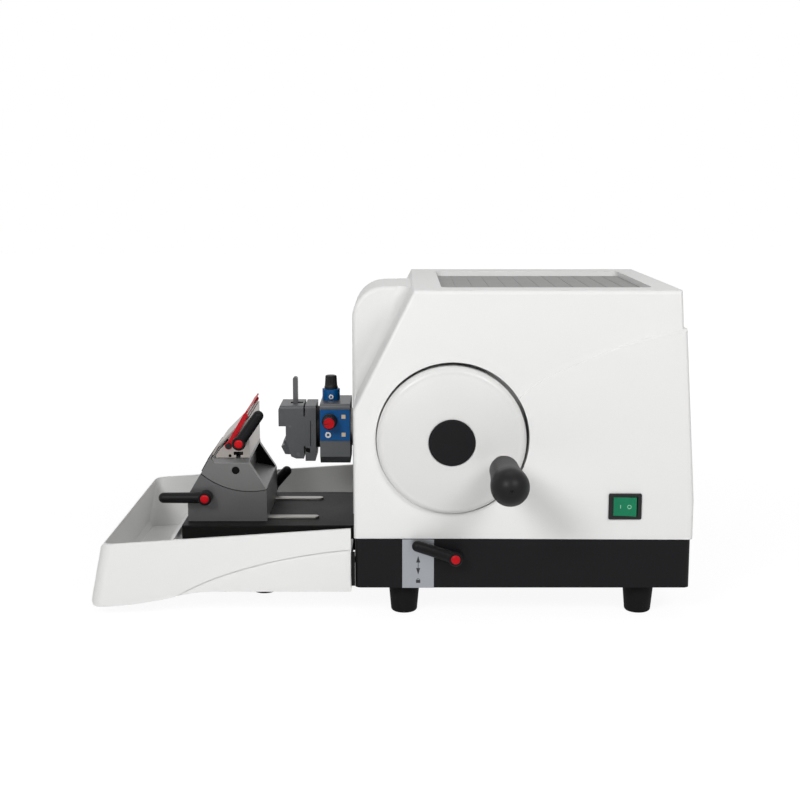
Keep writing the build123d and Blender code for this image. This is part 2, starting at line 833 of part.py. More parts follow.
# Screws that hold the housing down through the posts of the base
with BuildPart() as housing_screws:
    with BuildSketch(plan(base_z + 1)):
        with Locations((base_mid_x, mid_y)):
            with GridLocations(post_pitch_x, post_pitch_y, 2, 2):
                Circle(screw_head_radius)
    extrude(amount=screw_head_height)
    with BuildSketch(plan(base_z + 1 + screw_head_height)):
        with Locations((base_mid_x, mid_y)):
            with GridLocations(post_pitch_x, post_pitch_y, 2, 2):
                Circle(screw_radius)
    extrude(amount=base_height - 1 - screw_head_height + screw_reach)
    with BuildSketch(plan(base_z + 1)):
        with Locations((base_mid_x, mid_y)):
            with GridLocations(post_pitch_x, post_pitch_y, 2, 2):
                RegularPolygon(screw_radius, 6)
    extrude(amount=screw_head_height - 1, mode=Mode.SUBTRACT)
housing_screws.part.label = "housing_screws"

# Bearing frame: foot, upright wall with the shaft sleeve, far column and top bridge
with BuildPart() as bearing_frame:
    foot_x0 = guide_x - frame_front
    foot_x1 = wheel_x + frame_reach
    wall_y1 = sleeve_y1
    wall_y0 = wall_y1 - min(frame_wall, sleeve_y1 - sleeve_y0 - 1)
    frame_far_y = mid_y + slide_half_width + 14
    frame_z = floor_z + frame_foot
    frame_top_z = bridge_z + bridge_thickness
    with BuildSketch(plan(floor_z)):
        with Locations(((foot_x0 + foot_x1) / 2, (wall_y0 + frame_far_y) / 2)):
            Rectangle(foot_x1 - foot_x0, frame_far_y - wall_y0)
    extrude(amount=frame_foot)
    with BuildSketch(side(wall_y0)):
        with BuildLine():
            Polyline(
                (strut_x, frame_z), (foot_x1, frame_z), (wheel_x + sleeve_radius + 6, wheel_z),
                (wheel_x + 10, wheel_z + sleeve_radius + 10), (strut_x + 26, frame_top_z),
                (strut_x, frame_top_z), close=True,
            )
        make_face()
    extrude(amount=wall_y0 - wall_y1)
    round_bar(wheel_x, wheel_z, sleeve_y0, wall_y1, sleeve_radius)
    round_bar(wheel_x, wheel_z, sleeve_y0 - 1, wall_y1 + 1, bearing_radius, Mode.SUBTRACT)
    with BuildSketch(plan(bridge_z)):
        with Locations((strut_x + strut_width / 2, (wall_y0 + frame_far_y) / 2)):
            Rectangle(strut_width, frame_far_y - wall_y0)
        with Locations(((guide_x - guide_radius - 5 + strut_x + strut_width) / 2, mid_y)):
            Rectangle(strut_x + strut_width - guide_x + guide_radius + 5, 2 * guide_spread + 20)
    extrude(amount=bridge_thickness)
    with BuildSketch(plan(frame_z)):
        with Locations((strut_x + strut_width / 2, frame_far_y - 6)):
            Rectangle(strut_width, 12)
    extrude(amount=bridge_z - frame_z)
    with BuildSketch(plan(floor_z)):
        with Locations((guide_x, mid_y)):
            with GridLocations(1, 2 * guide_spread, 1, 2):
                Circle(guide_radius + running_fit)
    extrude(amount=bridge_z + bridge_thickness - floor_z, mode=Mode.SUBTRACT)
    # Lug that guides the brake rod
    rod_y = (drum_y0 + drum_y1) / 2
    with BuildSketch(plan(brake_lug_z)):
        with Locations((lock_x, (rod_y - 8 + wall_y0) / 2)):
            Rectangle(24, wall_y0 - rod_y + 8)
    extrude(amount=10)
    with BuildSketch(plan(brake_lug_z)):
        with Locations((lock_x, rod_y)):
            Circle(brake_rod_radius + running_fit)
    extrude(amount=10, mode=Mode.SUBTRACT)
bearing_frame.part.label = "bearing_frame"

with BuildPart() as guide_shafts:
    with BuildSketch(plan(floor_z + 1)):
        with Locations((guide_x, mid_y)):
            with GridLocations(1, 2 * guide_spread, 1, 2):
                Circle(guide_radius)
    extrude(amount=bridge_z + bridge_thickness - floor_z - 1)
guide_shafts.part.label = "guide_shafts"

with BuildPart() as shaft_bearing:
    round_bar(wheel_x, wheel_z, sleeve_y0, sleeve_y1, bearing_radius)
    round_bar(wheel_x, wheel_z, sleeve_y0 - 1, sleeve_y1 + 1, shaft_radius + running_fit, Mode.SUBTRACT)
shaft_bearing.part.label = "shaft_bearing"

# Handwheel: dished disc with a rolled rim, turned about the main shaft
with BuildPart() as handwheel:
    rim_back_y = near_y + wheel_rim_depth - wheel_rim_round
    rim_front_y = near_y - wheel_rim_round
    face_y = hub_y + wheel_face_drop
    with BuildSketch(turned(wheel_x, wheel_z)):
        with BuildLine():
            Line((0, hub_y + cap_height), (cap_radius + moulding_gap, hub_y + cap_height))
            Line((cap_radius + moulding_gap, hub_y + cap_height), (cap_radius + moulding_gap, hub_y + 1))
            Line((cap_radius + moulding_gap, hub_y + 1), (wheel_hub_radius, hub_y + 0.6))
            ThreePointArc(
                (wheel_hub_radius, hub_y + 0.6),
                ((wheel_hub_radius + wheel_radius) / 2, face_y + 0.4),
                (wheel_radius - wheel_rim_round, rim_front_y),
            )
            RadiusArc(
                (wheel_radius - wheel_rim_round, rim_front_y), (wheel_radius, near_y), -wheel_rim_round
            )
            Line((wheel_radius, near_y), (wheel_radius - 1, rim_back_y))
            Line((wheel_radius - 1, rim_back_y), (wheel_radius - 1 - wheel_web, rim_back_y))
            Line((wheel_radius - 1 - wheel_web, rim_back_y), (wheel_radius - 2 - wheel_web, near_y + 1))
            Line((wheel_radius - 2 - wheel_web, near_y + 1), (wheel_hub_radius, face_y + wheel_web + 3))
            Line((wheel_hub_radius, face_y + wheel_web + 3), (wheel_hub_radius - 3, rim_back_y + 4))
            Line((wheel_hub_radius - 3, rim_back_y + 4), (0, rim_back_y + 4))
            Line((0, rim_back_y + 4), (0, hub_y + cap_height))
        make_face()
    revolve(axis=y_axis(wheel_x, wheel_z))
    # Pad and flat seat for the handle pin
    round_bar(grip_x, grip_z, face_y + 1, near_y + 4, grip_collar_radius)
    round_bar(grip_x, grip_z, hub_y - 5, face_y + 1, grip_collar_radius + moulding_gap, Mode.SUBTRACT)
    round_bar(wheel_x, wheel_z, hub_y, rim_back_y + 5, shaft_radius + seat_gap, Mode.SUBTRACT)
    round_bar(grip_x, grip_z, hub_y - 5, near_y + 5, grip_pin_radius + seat_gap, Mode.SUBTRACT)
handwheel.part.label = "handwheel"

with BuildPart() as handwheel_cap:
    round_bar(wheel_x, wheel_z, hub_y - 1, hub_y + cap_height, cap_radius)
    fillet(handwheel_cap.edges().sort_by(Axis.Y)[0], 0.8)
handwheel_cap.part.label = "handwheel_cap"

# Main shaft with the brake drum turned on it
with BuildPart() as main_shaft:
    round_bar(wheel_x, wheel_z, hub_y + cap_height, crank_y1, shaft_radius)
    round_bar(wheel_x, wheel_z, drum_y0, drum_y1, drum_radius)
main_shaft.part.label = "main_shaft"

# Crank disc with its pin and, opposite, a segment of balance weight
with BuildPart() as crank_disc:
    round_bar(wheel_x, wheel_z, crank_y0, crank_y1, crank_radius)
    round_bar(wheel_x, wheel_z, crank_y0 - 1, crank_y1 + 1, shaft_radius + seat_gap, Mode.SUBTRACT)
    with BuildSketch(side(crank_y1)):
        with Locations(Location((wheel_x, wheel_z, 0), (0, 0, grip_angle))):
            Circle(crank_radius - 1)
            Circle(crank_radius - 16, mode=Mode.SUBTRACT)
            Rectangle(4 * crank_radius, 4 * crank_radius, align=(Align.MIN, Align.CENTER), mode=Mode.SUBTRACT)
    extrude(amount=-5)
    round_bar(crank_pin_x, arm_z, crank_y1, crank_y1 + roller_length, roller_radius)
crank_disc.part.label = "crank_disc"

with BuildPart() as handle_pin:
    pin_end_y = grip_tip_y + 18
    round_bar(grip_x, grip_z, pin_end_y, near_y + 4, grip_pin_radius)
    round_bar(grip_x, grip_z, grip_tip_y + grip_length + slip_gap, face_y + 1, grip_collar_radius)
handle_pin.part.label = "handle_pin"

# Handle grip: a cone that swells into a ball, free to turn on its pin
with BuildPart() as handle_grip:
    grip_base_y = grip_tip_y + grip_length
    ball_y = grip_tip_y + grip_ball_radius
    with BuildSketch(turned(grip_x, grip_z)):
        with BuildLine():
            Line((0, grip_base_y), (grip_base_radius - 2, grip_base_y))
            RadiusArc((grip_base_radius - 2, grip_base_y), (grip_base_radius, grip_base_y - 2), 2)
            Spline(
                (grip_base_radius, grip_base_y - 2), (grip_base_radius + 0.4, grip_base_y - 20),
                (grip_ball_radius - 1.2, ball_y + 18), (grip_ball_radius, ball_y),
                tangents=((0, -1), (0, -1)),
            )
            RadiusArc((grip_ball_radius, ball_y), (0, grip_tip_y), grip_ball_radius)
            Line((0, grip_tip_y), (0, grip_base_y))
        make_face()
    revolve(axis=y_axis(grip_x, grip_z))
    round_bar(grip_x, grip_z, pin_end_y - 0.5, grip_base_y + 1, grip_pin_radius + running_fit, Mode.SUBTRACT)
    round_bar(grip_x, grip_z, grip_tip_y - 1, grip_tip_y + 1.4, 1.6, Mode.SUBTRACT)
handle_grip.part.label = "handle_grip"

# Handwheel lock: lever with a cam on its shaft, release button and brake rod
lock_lever = clamping_lever(
    lock_x, lock_z, near_y - slip_gap, 1, lock_angle, lock_length, drum_y1 - near_y + slip_gap,
    cam=(drum_y0, drum_y1),
)
lock_lever.part.label = "lock_lever"
lock_button = release_button(lock_x, lock_z, near_y - slip_gap)
lock_button.part.label = "lock_button"

# Brake rod with a shoe that fits the drum
with BuildPart() as brake_rod:
    rod_z0 = lock_z + cam_radius + slip_gap
    shoe_top_z = wheel_z - drum_radius - brake_travel - slip_gap
    with BuildSketch(plan(rod_z0)):
        with Locations((lock_x, rod_y)):
            Circle(brake_rod_radius)
    extrude(amount=shoe_top_z - 3 - rod_z0)
    with BuildSketch(side(drum_y0)):
        with Locations((lock_x, shoe_top_z - 2)):
            Rectangle(22, 10)
        with Locations((wheel_x, wheel_z)):
            Circle(drum_radius + brake_travel + slip_gap, mode=Mode.SUBTRACT)
    extrude(amount=-drum_width)
brake_rod.part.label = "brake_rod"

# Plate beside the lock lever, held by two small screws
with BuildPart() as lock_plate:
    with BuildSketch(side(near_y - lock_plate_thickness)):
        with Locations((lock_plate_x0 + lock_plate_width / 2, (base_z + base_top_z) / 2)):
            Rectangle(lock_plate_width, base_height)
    extrude(amount=-lock_plate_thickness)
lock_plate.part.label = "lock_plate"

# Room inside the nose, open towards the base, for the shield behind the slot
with BuildPart() as nose_room:
    shield_room = shell_wall + running_fit
    add(prism(nose_outline(), nose_y0 + shield_room, nose_y1 - shield_room, shield_room))
    extrude(nose_room.faces().sort_by(Axis.Z)[0], amount=base_height)

# Shield that rides with the arm and keeps the slot in the nose covered
with BuildPart() as slot_shield:
    slot_mid_z = arm_z + (stroke_up - stroke_down) / 2
    shield_z0 = slot_mid_z - slot_height / 2 - stroke_up
    shield_z1 = slot_mid_z + slot_height / 2 + stroke_down - 1.6
    with BuildSketch(cross(shield_x)):
        with Locations((mid_y, (shield_z0 + shield_z1) / 2)):
            Rectangle(2 * shield_half_width, shield_z1 - shield_z0)
        with Locations((mid_y, arm_z)):
            Circle(arm_radius + slip_gap, mode=Mode.SUBTRACT)
    extrude(amount=shield_thickness)
    add(nose_room.part, mode=Mode.INTERSECT)
slot_shield.part.label = "slot_shield"

# Vertical slide: guided block, yoke for the crank pin, posts for the shield and motor bracket
with BuildPart() as vertical_slide:
    slide_z0 = arm_z - slide_height / 2
    slide_mid_x = slide_front_x + slide_length / 2
    with BuildSketch(plan(slide_z0)):
        with Locations((slide_mid_x, mid_y)):
            Rectangle(slide_length, 2 * slide_half_width)
    extrude(amount=slide_height)
    chamfer(vertical_slide.edges().filter_by(Axis.Z), 2)
    with BuildSketch(plan(slide_z0)):
        with Locations((guide_x, mid_y)):
            with GridLocations(1, 2 * guide_spread, 1, 2):
                Circle(guide_radius + running_fit)
    extrude(amount=slide_height, mode=Mode.SUBTRACT)
    with BuildSketch(cross(slide_front_x)):
        with Locations((mid_y, arm_z)):
            Circle(arm_radius + running_fit)
    extrude(amount=slide_length, mode=Mode.SUBTRACT)
    with BuildSketch(cross(shield_x + shield_thickness)):
        with Locations((mid_y, arm_z)):
            with GridLocations(2 * shield_half_width - 8, slide_height - 10, 2, 2):
                Circle(3)
    extrude(amount=slide_front_x - shield_x - shield_thickness)
    # Yoke, driven up and down by the crank pin
    yoke_y1 = mid_y - slide_half_width
    yoke_y0 = yoke_y1 - yoke_thickness
    yoke_half_length = crank_throw + roller_radius + yoke_border
    with BuildSketch(side(yoke_y0)):
        with Locations((wheel_x, arm_z)):
            Rectangle(2 * yoke_half_length, 2 * (roller_radius + yoke_border))
        with Locations(((slide_front_x + wheel_x) / 2, arm_z)):
            Rectangle(wheel_x - slide_front_x, 2 * (roller_radius + yoke_border))
        with Locations((wheel_x, arm_z)):
            SlotOverall(
                2 * (crank_throw + roller_radius + 1), 2 * (roller_radius + slip_gap), mode=Mode.SUBTRACT
            )
    extrude(amount=-yoke_thickness)
    # Bracket that carries the feed motor behind the block
    with BuildSketch(cross(slide_back_x)):
        with Locations((mid_y, arm_z)):
            with GridLocations(2 * bracket_spread + motor_plate, 1, 2, 1):
                Rectangle(motor_plate, motor_size)
    extrude(amount=screw_back_x - slide_back_x)
    with BuildSketch(cross(screw_back_x)):
        with Locations((mid_y, arm_z)):
            Rectangle(2 * (bracket_spread + motor_plate), motor_size)
            Circle(screw_lead_radius + running_fit, mode=Mode.SUBTRACT)
    extrude(amount=motor_plate)
vertical_slide.part.label = "vertical_slide"

with BuildPart() as feed_motor:
    motor_x0 = screw_back_x + motor_plate
    with BuildSketch(cross(motor_x0)):
        with Locations((mid_y, arm_z)):
            Rectangle(motor_size, motor_size)
            Circle(screw_lead_radius + slip_gap, mode=Mode.SUBTRACT)
    extrude(amount=motor_length)
    chamfer(feed_motor.edges().filter_by(Axis.X), 4)
feed_motor.part.label = "feed_motor"

# Feed spindle, turned by the motor inside the nut of the arm
with BuildPart() as feed_screw:
    with BuildSketch(cross(arm_front_x + 44)):
        with Locations((mid_y, arm_z)):
            Circle(screw_lead_radius)
    extrude(amount=screw_back_x + motor_plate + motor_length - 6 - arm_front_x - 44)
feed_screw.part.label = "feed_screw"

# Specimen arm: round bar with a bored tail that holds the feed nut
with BuildPart() as specimen_arm:
    with BuildSketch(cross(arm_front_x)):
        with Locations((mid_y, arm_z)):
            Circle(arm_radius)
    extrude(amount=arm_back_x - arm_front_x)
    chamfer(specimen_arm.edges().sort_by(Axis.X)[-1], 1.5)
    bore_x0 = arm_front_x + 44 - feed_travel - 4
    with BuildSketch(cross(bore_x0)):
        with Locations((mid_y, arm_z)):
            Circle(screw_lead_radius + 2)
    extrude(amount=arm_back_x - nut_length - bore_x0, mode=Mode.SUBTRACT)
    with BuildSketch(cross(bore_x0)):
        with Locations((mid_y, arm_z)):
            Circle(screw_lead_radius + running_fit)
    extrude(amount=arm_back_x - bore_x0, mode=Mode.SUBTRACT)
specimen_arm.part.label = "specimen_arm"

def dome(radius, back_x):
    """Front cap of a ball about the pivot of the head, ending at a plane across X."""
    chord = sqrt(radius**2 - (back_x - pivot_x)**2)
    with BuildPart() as cap:
        with BuildSketch(Plane(origin=(0, mid_y, arm_z), x_dir=(1, 0, 0), z_dir=(0, -1, 0))):
            with BuildLine():
                Line((pivot_x - radius, 0), (back_x, 0))
                Line((back_x, 0), (back_x, chord))
                CenterArc(
                    (pivot_x, 0), radius, 180, -degrees(atan2(chord, pivot_x - back_x))
                )
            make_face()
        revolve(axis=Axis((0, mid_y, arm_z), (1, 0, 0)))
    return cap.part


# Specimen head block with its round front opening, domed seat and gimbal bore
head_mid_z = (head_z0 + head_z1) / 2
with BuildPart() as head_block:
    with BuildSketch(side(mid_y - head_half_width)):
        with Locations((pivot_x, head_mid_z)):
            Rectangle(head_back_x - head_front_x, head_z1 - head_z0)
    extrude(amount=-2 * head_half_width)
    low_edges = head_block.faces().sort_by(Axis.Z)[0].edges().filter_by(Axis.X)
    chamfer(low_edges, head_chamfer)
    top_edges = head_block.faces().sort_by(Axis.Z)[-1].edges().filter_by(Axis.X)
    fillet(top_edges, head_top_round)
    # Dome in a round pocket of the front face; the flange of the clamp dips into the pocket
    with BuildSketch(cross(head_front_x)):
        with Locations((mid_y, arm_z)):
            Circle(head_pocket_radius)
    extrude(amount=head_pocket_depth, mode=Mode.SUBTRACT)
    add(dome(head_dome_radius, head_front_x + head_pocket_depth))
    # Room for the gimbal ring, opening for the stem and bores for the pins and knobs
    with BuildSketch(cross(head_back_x - 6)):
        with Locations((mid_y, arm_z)):
            Circle(head_bore)
    extrude(amount=-(head_back_x - 6 - head_front_x) + 4, mode=Mode.SUBTRACT)
    with BuildSketch(cross(head_front_x + 5)):
        with Locations((mid_y, arm_z)):
            Circle(stem_radius + 5)
    extrude(amount=-40, mode=Mode.SUBTRACT)
    with BuildSketch(side(mid_y - head_half_width - 1)):
        with Locations((pivot_x, arm_z)):
            Circle(gimbal_pin_radius + running_fit)
    extrude(amount=-(2 * head_half_width + 2), mode=Mode.SUBTRACT)
    with BuildSketch(side(mid_y - head_half_width - 1)):
        with Locations((knob_x, side_knob_z)):
            Circle(3 + running_fit)
    extrude(amount=-9, mode=Mode.SUBTRACT)
    with BuildSketch(plan(head_z1 + 1)):
        with Locations((knob_x, mid_y)):
            Circle(3 + running_fit)
    extrude(amount=-8, mode=Mode.SUBTRACT)
head_block.part.label = "head_block"

with BuildPart() as head_side_plate:
    with BuildSketch(side(mid_y - head_half_width - plate_thickness)):
        with Locations(((plate_x0 + plate_x1) / 2, (plate_z0 + plate_z1) / 2)):
            RectangleRounded(plate_x1 - plate_x0, plate_z1 - plate_z0, 1)
        with Locations((knob_x, side_knob_z)):
            Circle(3 + running_fit, mode=Mode.SUBTRACT)
    extrude(amount=-plate_thickness)
head_side_plate.part.label = "head_side_plate"

# Collar under the top knob, with a flat for its pinch screw
collar_flat_y = mid_y - collar_radius + 0.5
with BuildPart() as head_top_collar:
    with BuildSketch(plan(head_z1)):
        with Locations((knob_x, mid_y)):
            Circle(collar_radius)
            Circle(3 + running_fit, mode=Mode.SUBTRACT)
        with Locations((knob_x, collar_flat_y)):
            Rectangle(collar_radius, 2, align=(Align.CENTER, Align.MAX), mode=Mode.SUBTRACT)
    extrude(amount=collar_height)
head_top_collar.part.label = "head_top_collar"

# Small screws on the side plate and in the collar
with BuildPart() as head_screws:
    screw_face_y = mid_y - head_half_width - plate_thickness
    with BuildSketch(side(screw_face_y - 1.6)):
        with Locations((plate_x0 + 8.6, plate_z0 + 6.3)):
            Circle(3.2)
            RegularPolygon(1.5, 6, mode=Mode.SUBTRACT)
    extrude(amount=-1.6)
    with BuildSketch(side(screw_face_y - 0.8)):
        with Locations((plate_x1 - 6.5, plate_z1 - 7.0), (plate_x1 - 6.5, plate_z0 + 6.6)):
            Rectangle(4, 4)
    extrude(amount=-0.8)
    with BuildSketch(side(collar_flat_y - 1.8)):
        with Locations((knob_x + 0.5, head_z1 + 4.2)):
            Circle(2.6)
            RegularPolygon(1.2, 6, mode=Mode.SUBTRACT)
    extrude(amount=-1.8)
head_screws.part.label = "head_screws"


def knob_profile(radius, length, skirt):
    """Half section of a small knob with a skirt, from its seat outwards."""
    with BuildLine() as line:
        Polyline(
            (0, 0), (radius + skirt, 0), (radius + skirt, 2.5), (radius, 3.5), (radius - 0.6, length - 1),
            (radius - 1.6, length), (0, length), close=True,
        )
    return line.line


# Side knob, which turns the head about the Y axis
with BuildPart() as side_knob:
    knob_seat_y = mid_y - head_half_width - plate_thickness - slip_gap
    knob_plane = Plane(origin=(knob_x, knob_seat_y, side_knob_z), x_dir=(1, 0, 0), z_dir=(0, 0, -1))
    with BuildSketch(knob_plane):
        make_face(knob_profile(side_knob_radius - 0.8, side_knob_length, 0.8))
    revolve(axis=Axis(knob_plane.origin, (0, 1, 0)))
    round_bar(knob_x, side_knob_z, knob_seat_y, knob_seat_y + 8, 3)
    round_bar(
        knob_x, side_knob_z, knob_seat_y - side_knob_length - 1, knob_seat_y - side_knob_length + 1.5,
        side_cap_radius + seat_gap, Mode.SUBTRACT,
    )
side_knob.part.label = "side_knob"

with BuildPart() as side_knob_cap:
    round_bar(
        knob_x, side_knob_z, knob_seat_y - side_knob_length - 0.6, knob_seat_y - side_knob_length + 1.5,
        side_cap_radius,
    )
    fillet(side_knob_cap.edges().sort_by(Axis.Y)[0], 0.5)
side_knob_cap.part.label = "side_knob_cap"

# Top knob, which turns the head about the upright axis
with BuildPart() as top_knob:
    top_seat_z = head_z1 + collar_height + slip_gap
    top_plane = Plane(origin=(knob_x, mid_y, top_seat_z), x_dir=(1, 0, 0), z_dir=(0, -1, 0))
    with BuildSketch(top_plane):
        make_face(knob_profile(top_knob_radius, top_knob_height, 0.6))
    revolve(axis=Axis(top_plane.origin, (0, 0, 1)))
    with BuildSketch(plan(top_seat_z)):
        with Locations((knob_x, mid_y)):
            Circle(3)
    extrude(amount=-(collar_height + 6))
top_knob.part.label = "top_knob"

# Gimbal ring inside the head: pins along Y in the block, bores along Z for the stem
with BuildPart() as gimbal_ring:
    with BuildSketch(cross(pivot_x - gimbal_half_depth)):
        with Locations((mid_y, arm_z)):
            Circle(gimbal_radius)
    extrude(amount=2 * gimbal_half_depth)
    round_bar(pivot_x, arm_z, mid_y - head_half_width + 3, mid_y + head_half_width - 3, gimbal_pin_radius)
    with BuildSketch(cross(pivot_x - gimbal_half_depth - 1)):
        with Locations((mid_y, arm_z)):
            Circle(gimbal_bore)
    extrude(amount=2 * gimbal_half_depth + 2, mode=Mode.SUBTRACT)
    with BuildSketch(plan(arm_z - gimbal_radius - 1)):
        with Locations((pivot_x, mid_y)):
            Circle(gimbal_pin_radius + running_fit)
    extrude(amount=2 * gimbal_radius + 2, mode=Mode.SUBTRACT)
gimbal_ring.part.label = "gimbal_ring"

# Stem of the clamp: hub with upright pins, neck and round black flange
with BuildPart() as clamp_stem:
    with BuildSketch(plan(arm_z - gimbal_radius + 0.5)):
        with Locations((pivot_x, mid_y)):
            Circle(gimbal_pin_radius)
    extrude(amount=2 * gimbal_radius - 1)
    with Locations((pivot_x, mid_y, arm_z)):
        Sphere(8)
    with BuildSketch(cross(pivot_x)):
        with Locations((mid_y, arm_z)):
            Circle(stem_radius)
    extrude(amount=back_plate_x0 - pivot_x + 2)
clamp_stem.part.label = "clamp_stem"

# Black flange behind the clamp, hollowed to ride over the dome of the head
with BuildPart() as clamp_flange:
    with BuildSketch(cross(back_plate_x1)):
        with Locations((mid_y, arm_z)):
            Circle(clamp_neck_radius)
    extrude(amount=head_front_x + 1.5 - back_plate_x1)
    add(dome(head_dome_radius + head_dome_gap, head_front_x + head_pocket_depth), mode=Mode.SUBTRACT)
clamp_flange.part.label = "clamp_flange"

# Back plate of the clamp
cut_x = (back_plate_x0 + back_plate_x1) / 2
cut_z = (clamp_z0 + clamp_z1) / 2
cut_length = 0.46 * (clamp_z1 - clamp_z0)
with BuildPart() as clamp_back_plate:
    with BuildSketch(side(mid_y - clamp_half_width)):
        with BuildLine():
            Polyline(
                (back_plate_x0, clamp_z0), (back_plate_x1 - 0.7, clamp_z0), (back_plate_x1, clamp_z0 + 10.2),
                (back_plate_x1, clamp_z1), (back_plate_x0, clamp_z1), close=True,
            )
        make_face()
    extrude(amount=-2 * clamp_half_width)
    fillet(clamp_back_plate.faces().sort_by(Axis.Z)[-1].edges().filter_by(Axis.X), 3)
    add(dome(head_dome_radius + head_dome_gap, head_front_x + head_pocket_depth), mode=Mode.SUBTRACT)
    with BuildSketch(cross(back_plate_x0 - 1)):
        with Locations((mid_y, arm_z)):
            Circle(stem_radius + seat_gap)
    extrude(amount=10, mode=Mode.SUBTRACT)
    # Saw cut down each side that lets the plate spring
    with BuildSketch(side(mid_y - clamp_half_width - 1)):
        with Locations((cut_x, cut_z)):
            SlotOverall(cut_length, 1.0, rotation=90)
    extrude(amount=-4, mode=Mode.SUBTRACT)
    with BuildSketch(side(mid_y + clamp_half_width - 3)):
        with Locations((cut_x, cut_z)):
            SlotOverall(cut_length, 1.0, rotation=90)
    extrude(amount=-4, mode=Mode.SUBTRACT)
clamp_back_plate.part.label = "clamp_back_plate"

# Clamp body with the fixed upper lip and two cheeks for the jaw
with BuildPart() as clamp_body:
    with BuildSketch(side(mid_y - clamp_half_width)):
        with BuildLine():
            Polyline(
                (clamp_front_x, clamp_lip_z), (clamp_face_x, clamp_lip_z), (clamp_face_x, jaw_top_z),
                (clamp_face_x + 5.5, clamp_z0 + 4.7), (clamp_back_x - 8.1, clamp_z0 + 2.5),
                (clamp_back_x, clamp_z0 + 2.5), (clamp_back_x, clamp_z1),
                (clamp_front_x + 1.5, clamp_z1), (clamp_front_x, clamp_z1 - 4), close=True,
            )
        make_face()
    extrude(amount=-2 * clamp_half_width)
    fillet(clamp_body.faces().sort_by(Axis.Z)[-1].edges().filter_by(Axis.X), 3)
    # Foot that seats the body on the back plate
    with BuildSketch(side(mid_y - clamp_half_width)):
        with BuildLine():
            Polyline(
                (clamp_back_x - 1, jaw_top_z - 5.5), (back_plate_x0, jaw_top_z - 5.5),
                (back_plate_x0, clamp_z1 - 11.2), (clamp_back_x - 1, clamp_z1 - 11.2), close=True,
            )
        make_face()
    extrude(amount=-2 * clamp_half_width)
    # Room for the jaw between the cheeks
    with BuildSketch(side(mid_y - jaw_half_width - slip_gap)):
        with BuildLine():
            Polyline(
                (clamp_face_x - 1, jaw_top_z + slip_gap), (clamp_back_x - 1.9, jaw_top_z + slip_gap),
                (clamp_back_x - 1.9, clamp_z0 - 1.8), (clamp_face_x - 1, clamp_z0 - 1.8), close=True,
            )
        make_face()
    extrude(amount=-2 * (jaw_half_width + slip_gap), mode=Mode.SUBTRACT)
    round_bar(
        jaw_pin_x, jaw_pin_z, mid_y - clamp_half_width - 1, mid_y + clamp_half_width + 1,
        jaw_pin_radius + running_fit, Mode.SUBTRACT,
    )
    # Slot and cross bore for the lever
    with BuildSketch(plan(clamp_z1 + 1)):
        with Locations((clamp_lever_x + 1.5, mid_y)):
            Rectangle(13, clamp_lever_width + 2 * slip_gap)
    extrude(amount=-(clamp_z1 + 1 - clamp_lever_pivot_z + 7), mode=Mode.SUBTRACT)
    round_bar(
        clamp_lever_x, clamp_lever_pivot_z, mid_y - clamp_half_width + 6, mid_y + clamp_half_width - 6,
        1.5 + running_fit, Mode.SUBTRACT,
    )
clamp_body.part.label = "clamp_body"

# Lower jaw with its two hooks and its trunnions, drawn about its pin
jaw_hooks = [
    (2.3, -4.1), (-1.8, -4.5), (-5.3, -1.9), (-14.5, -1.5), (-18.6, 6.9), (-14.9, 8.5), (-16.4, 12.5),
]
with BuildPart() as clamp_jaw:
    with BuildSketch(side(mid_y - jaw_half_width)):
        with BuildLine():
            Polyline(
                *[(jaw_pin_x + x, jaw_pin_z + z) for x, z in jaw_hooks],
                (jaw_pin_x - 13.5, jaw_top_z - slip_gap), (jaw_pin_x + 0.5, jaw_top_z - slip_gap),
                (jaw_pin_x + 2.3, jaw_pin_z + 3.9), close=True,
            )
        make_face()
    extrude(amount=-2 * jaw_half_width)
    round_bar(
        jaw_pin_x, jaw_pin_z, mid_y - clamp_half_width + 0.5, mid_y + clamp_half_width - 0.5, jaw_pin_radius
    )
clamp_jaw.part.label = "clamp_jaw"

with BuildPart() as clamp_lever:
    with BuildSketch(side(mid_y - clamp_lever_width / 2)):
        with Locations((clamp_lever_x, (clamp_lever_pivot_z - 2 + clamp_lever_top_z) / 2)):
            SlotOverall(clamp_lever_top_z - clamp_lever_pivot_z + 2, clamp_lever_thickness, rotation=90)
    extrude(amount=-clamp_lever_width)
    round_bar(
        clamp_lever_x, clamp_lever_pivot_z, mid_y - clamp_half_width + 6.5,
        mid_y + clamp_half_width - 6.5, 1.5,
    )
clamp_lever.part.label = "clamp_lever"

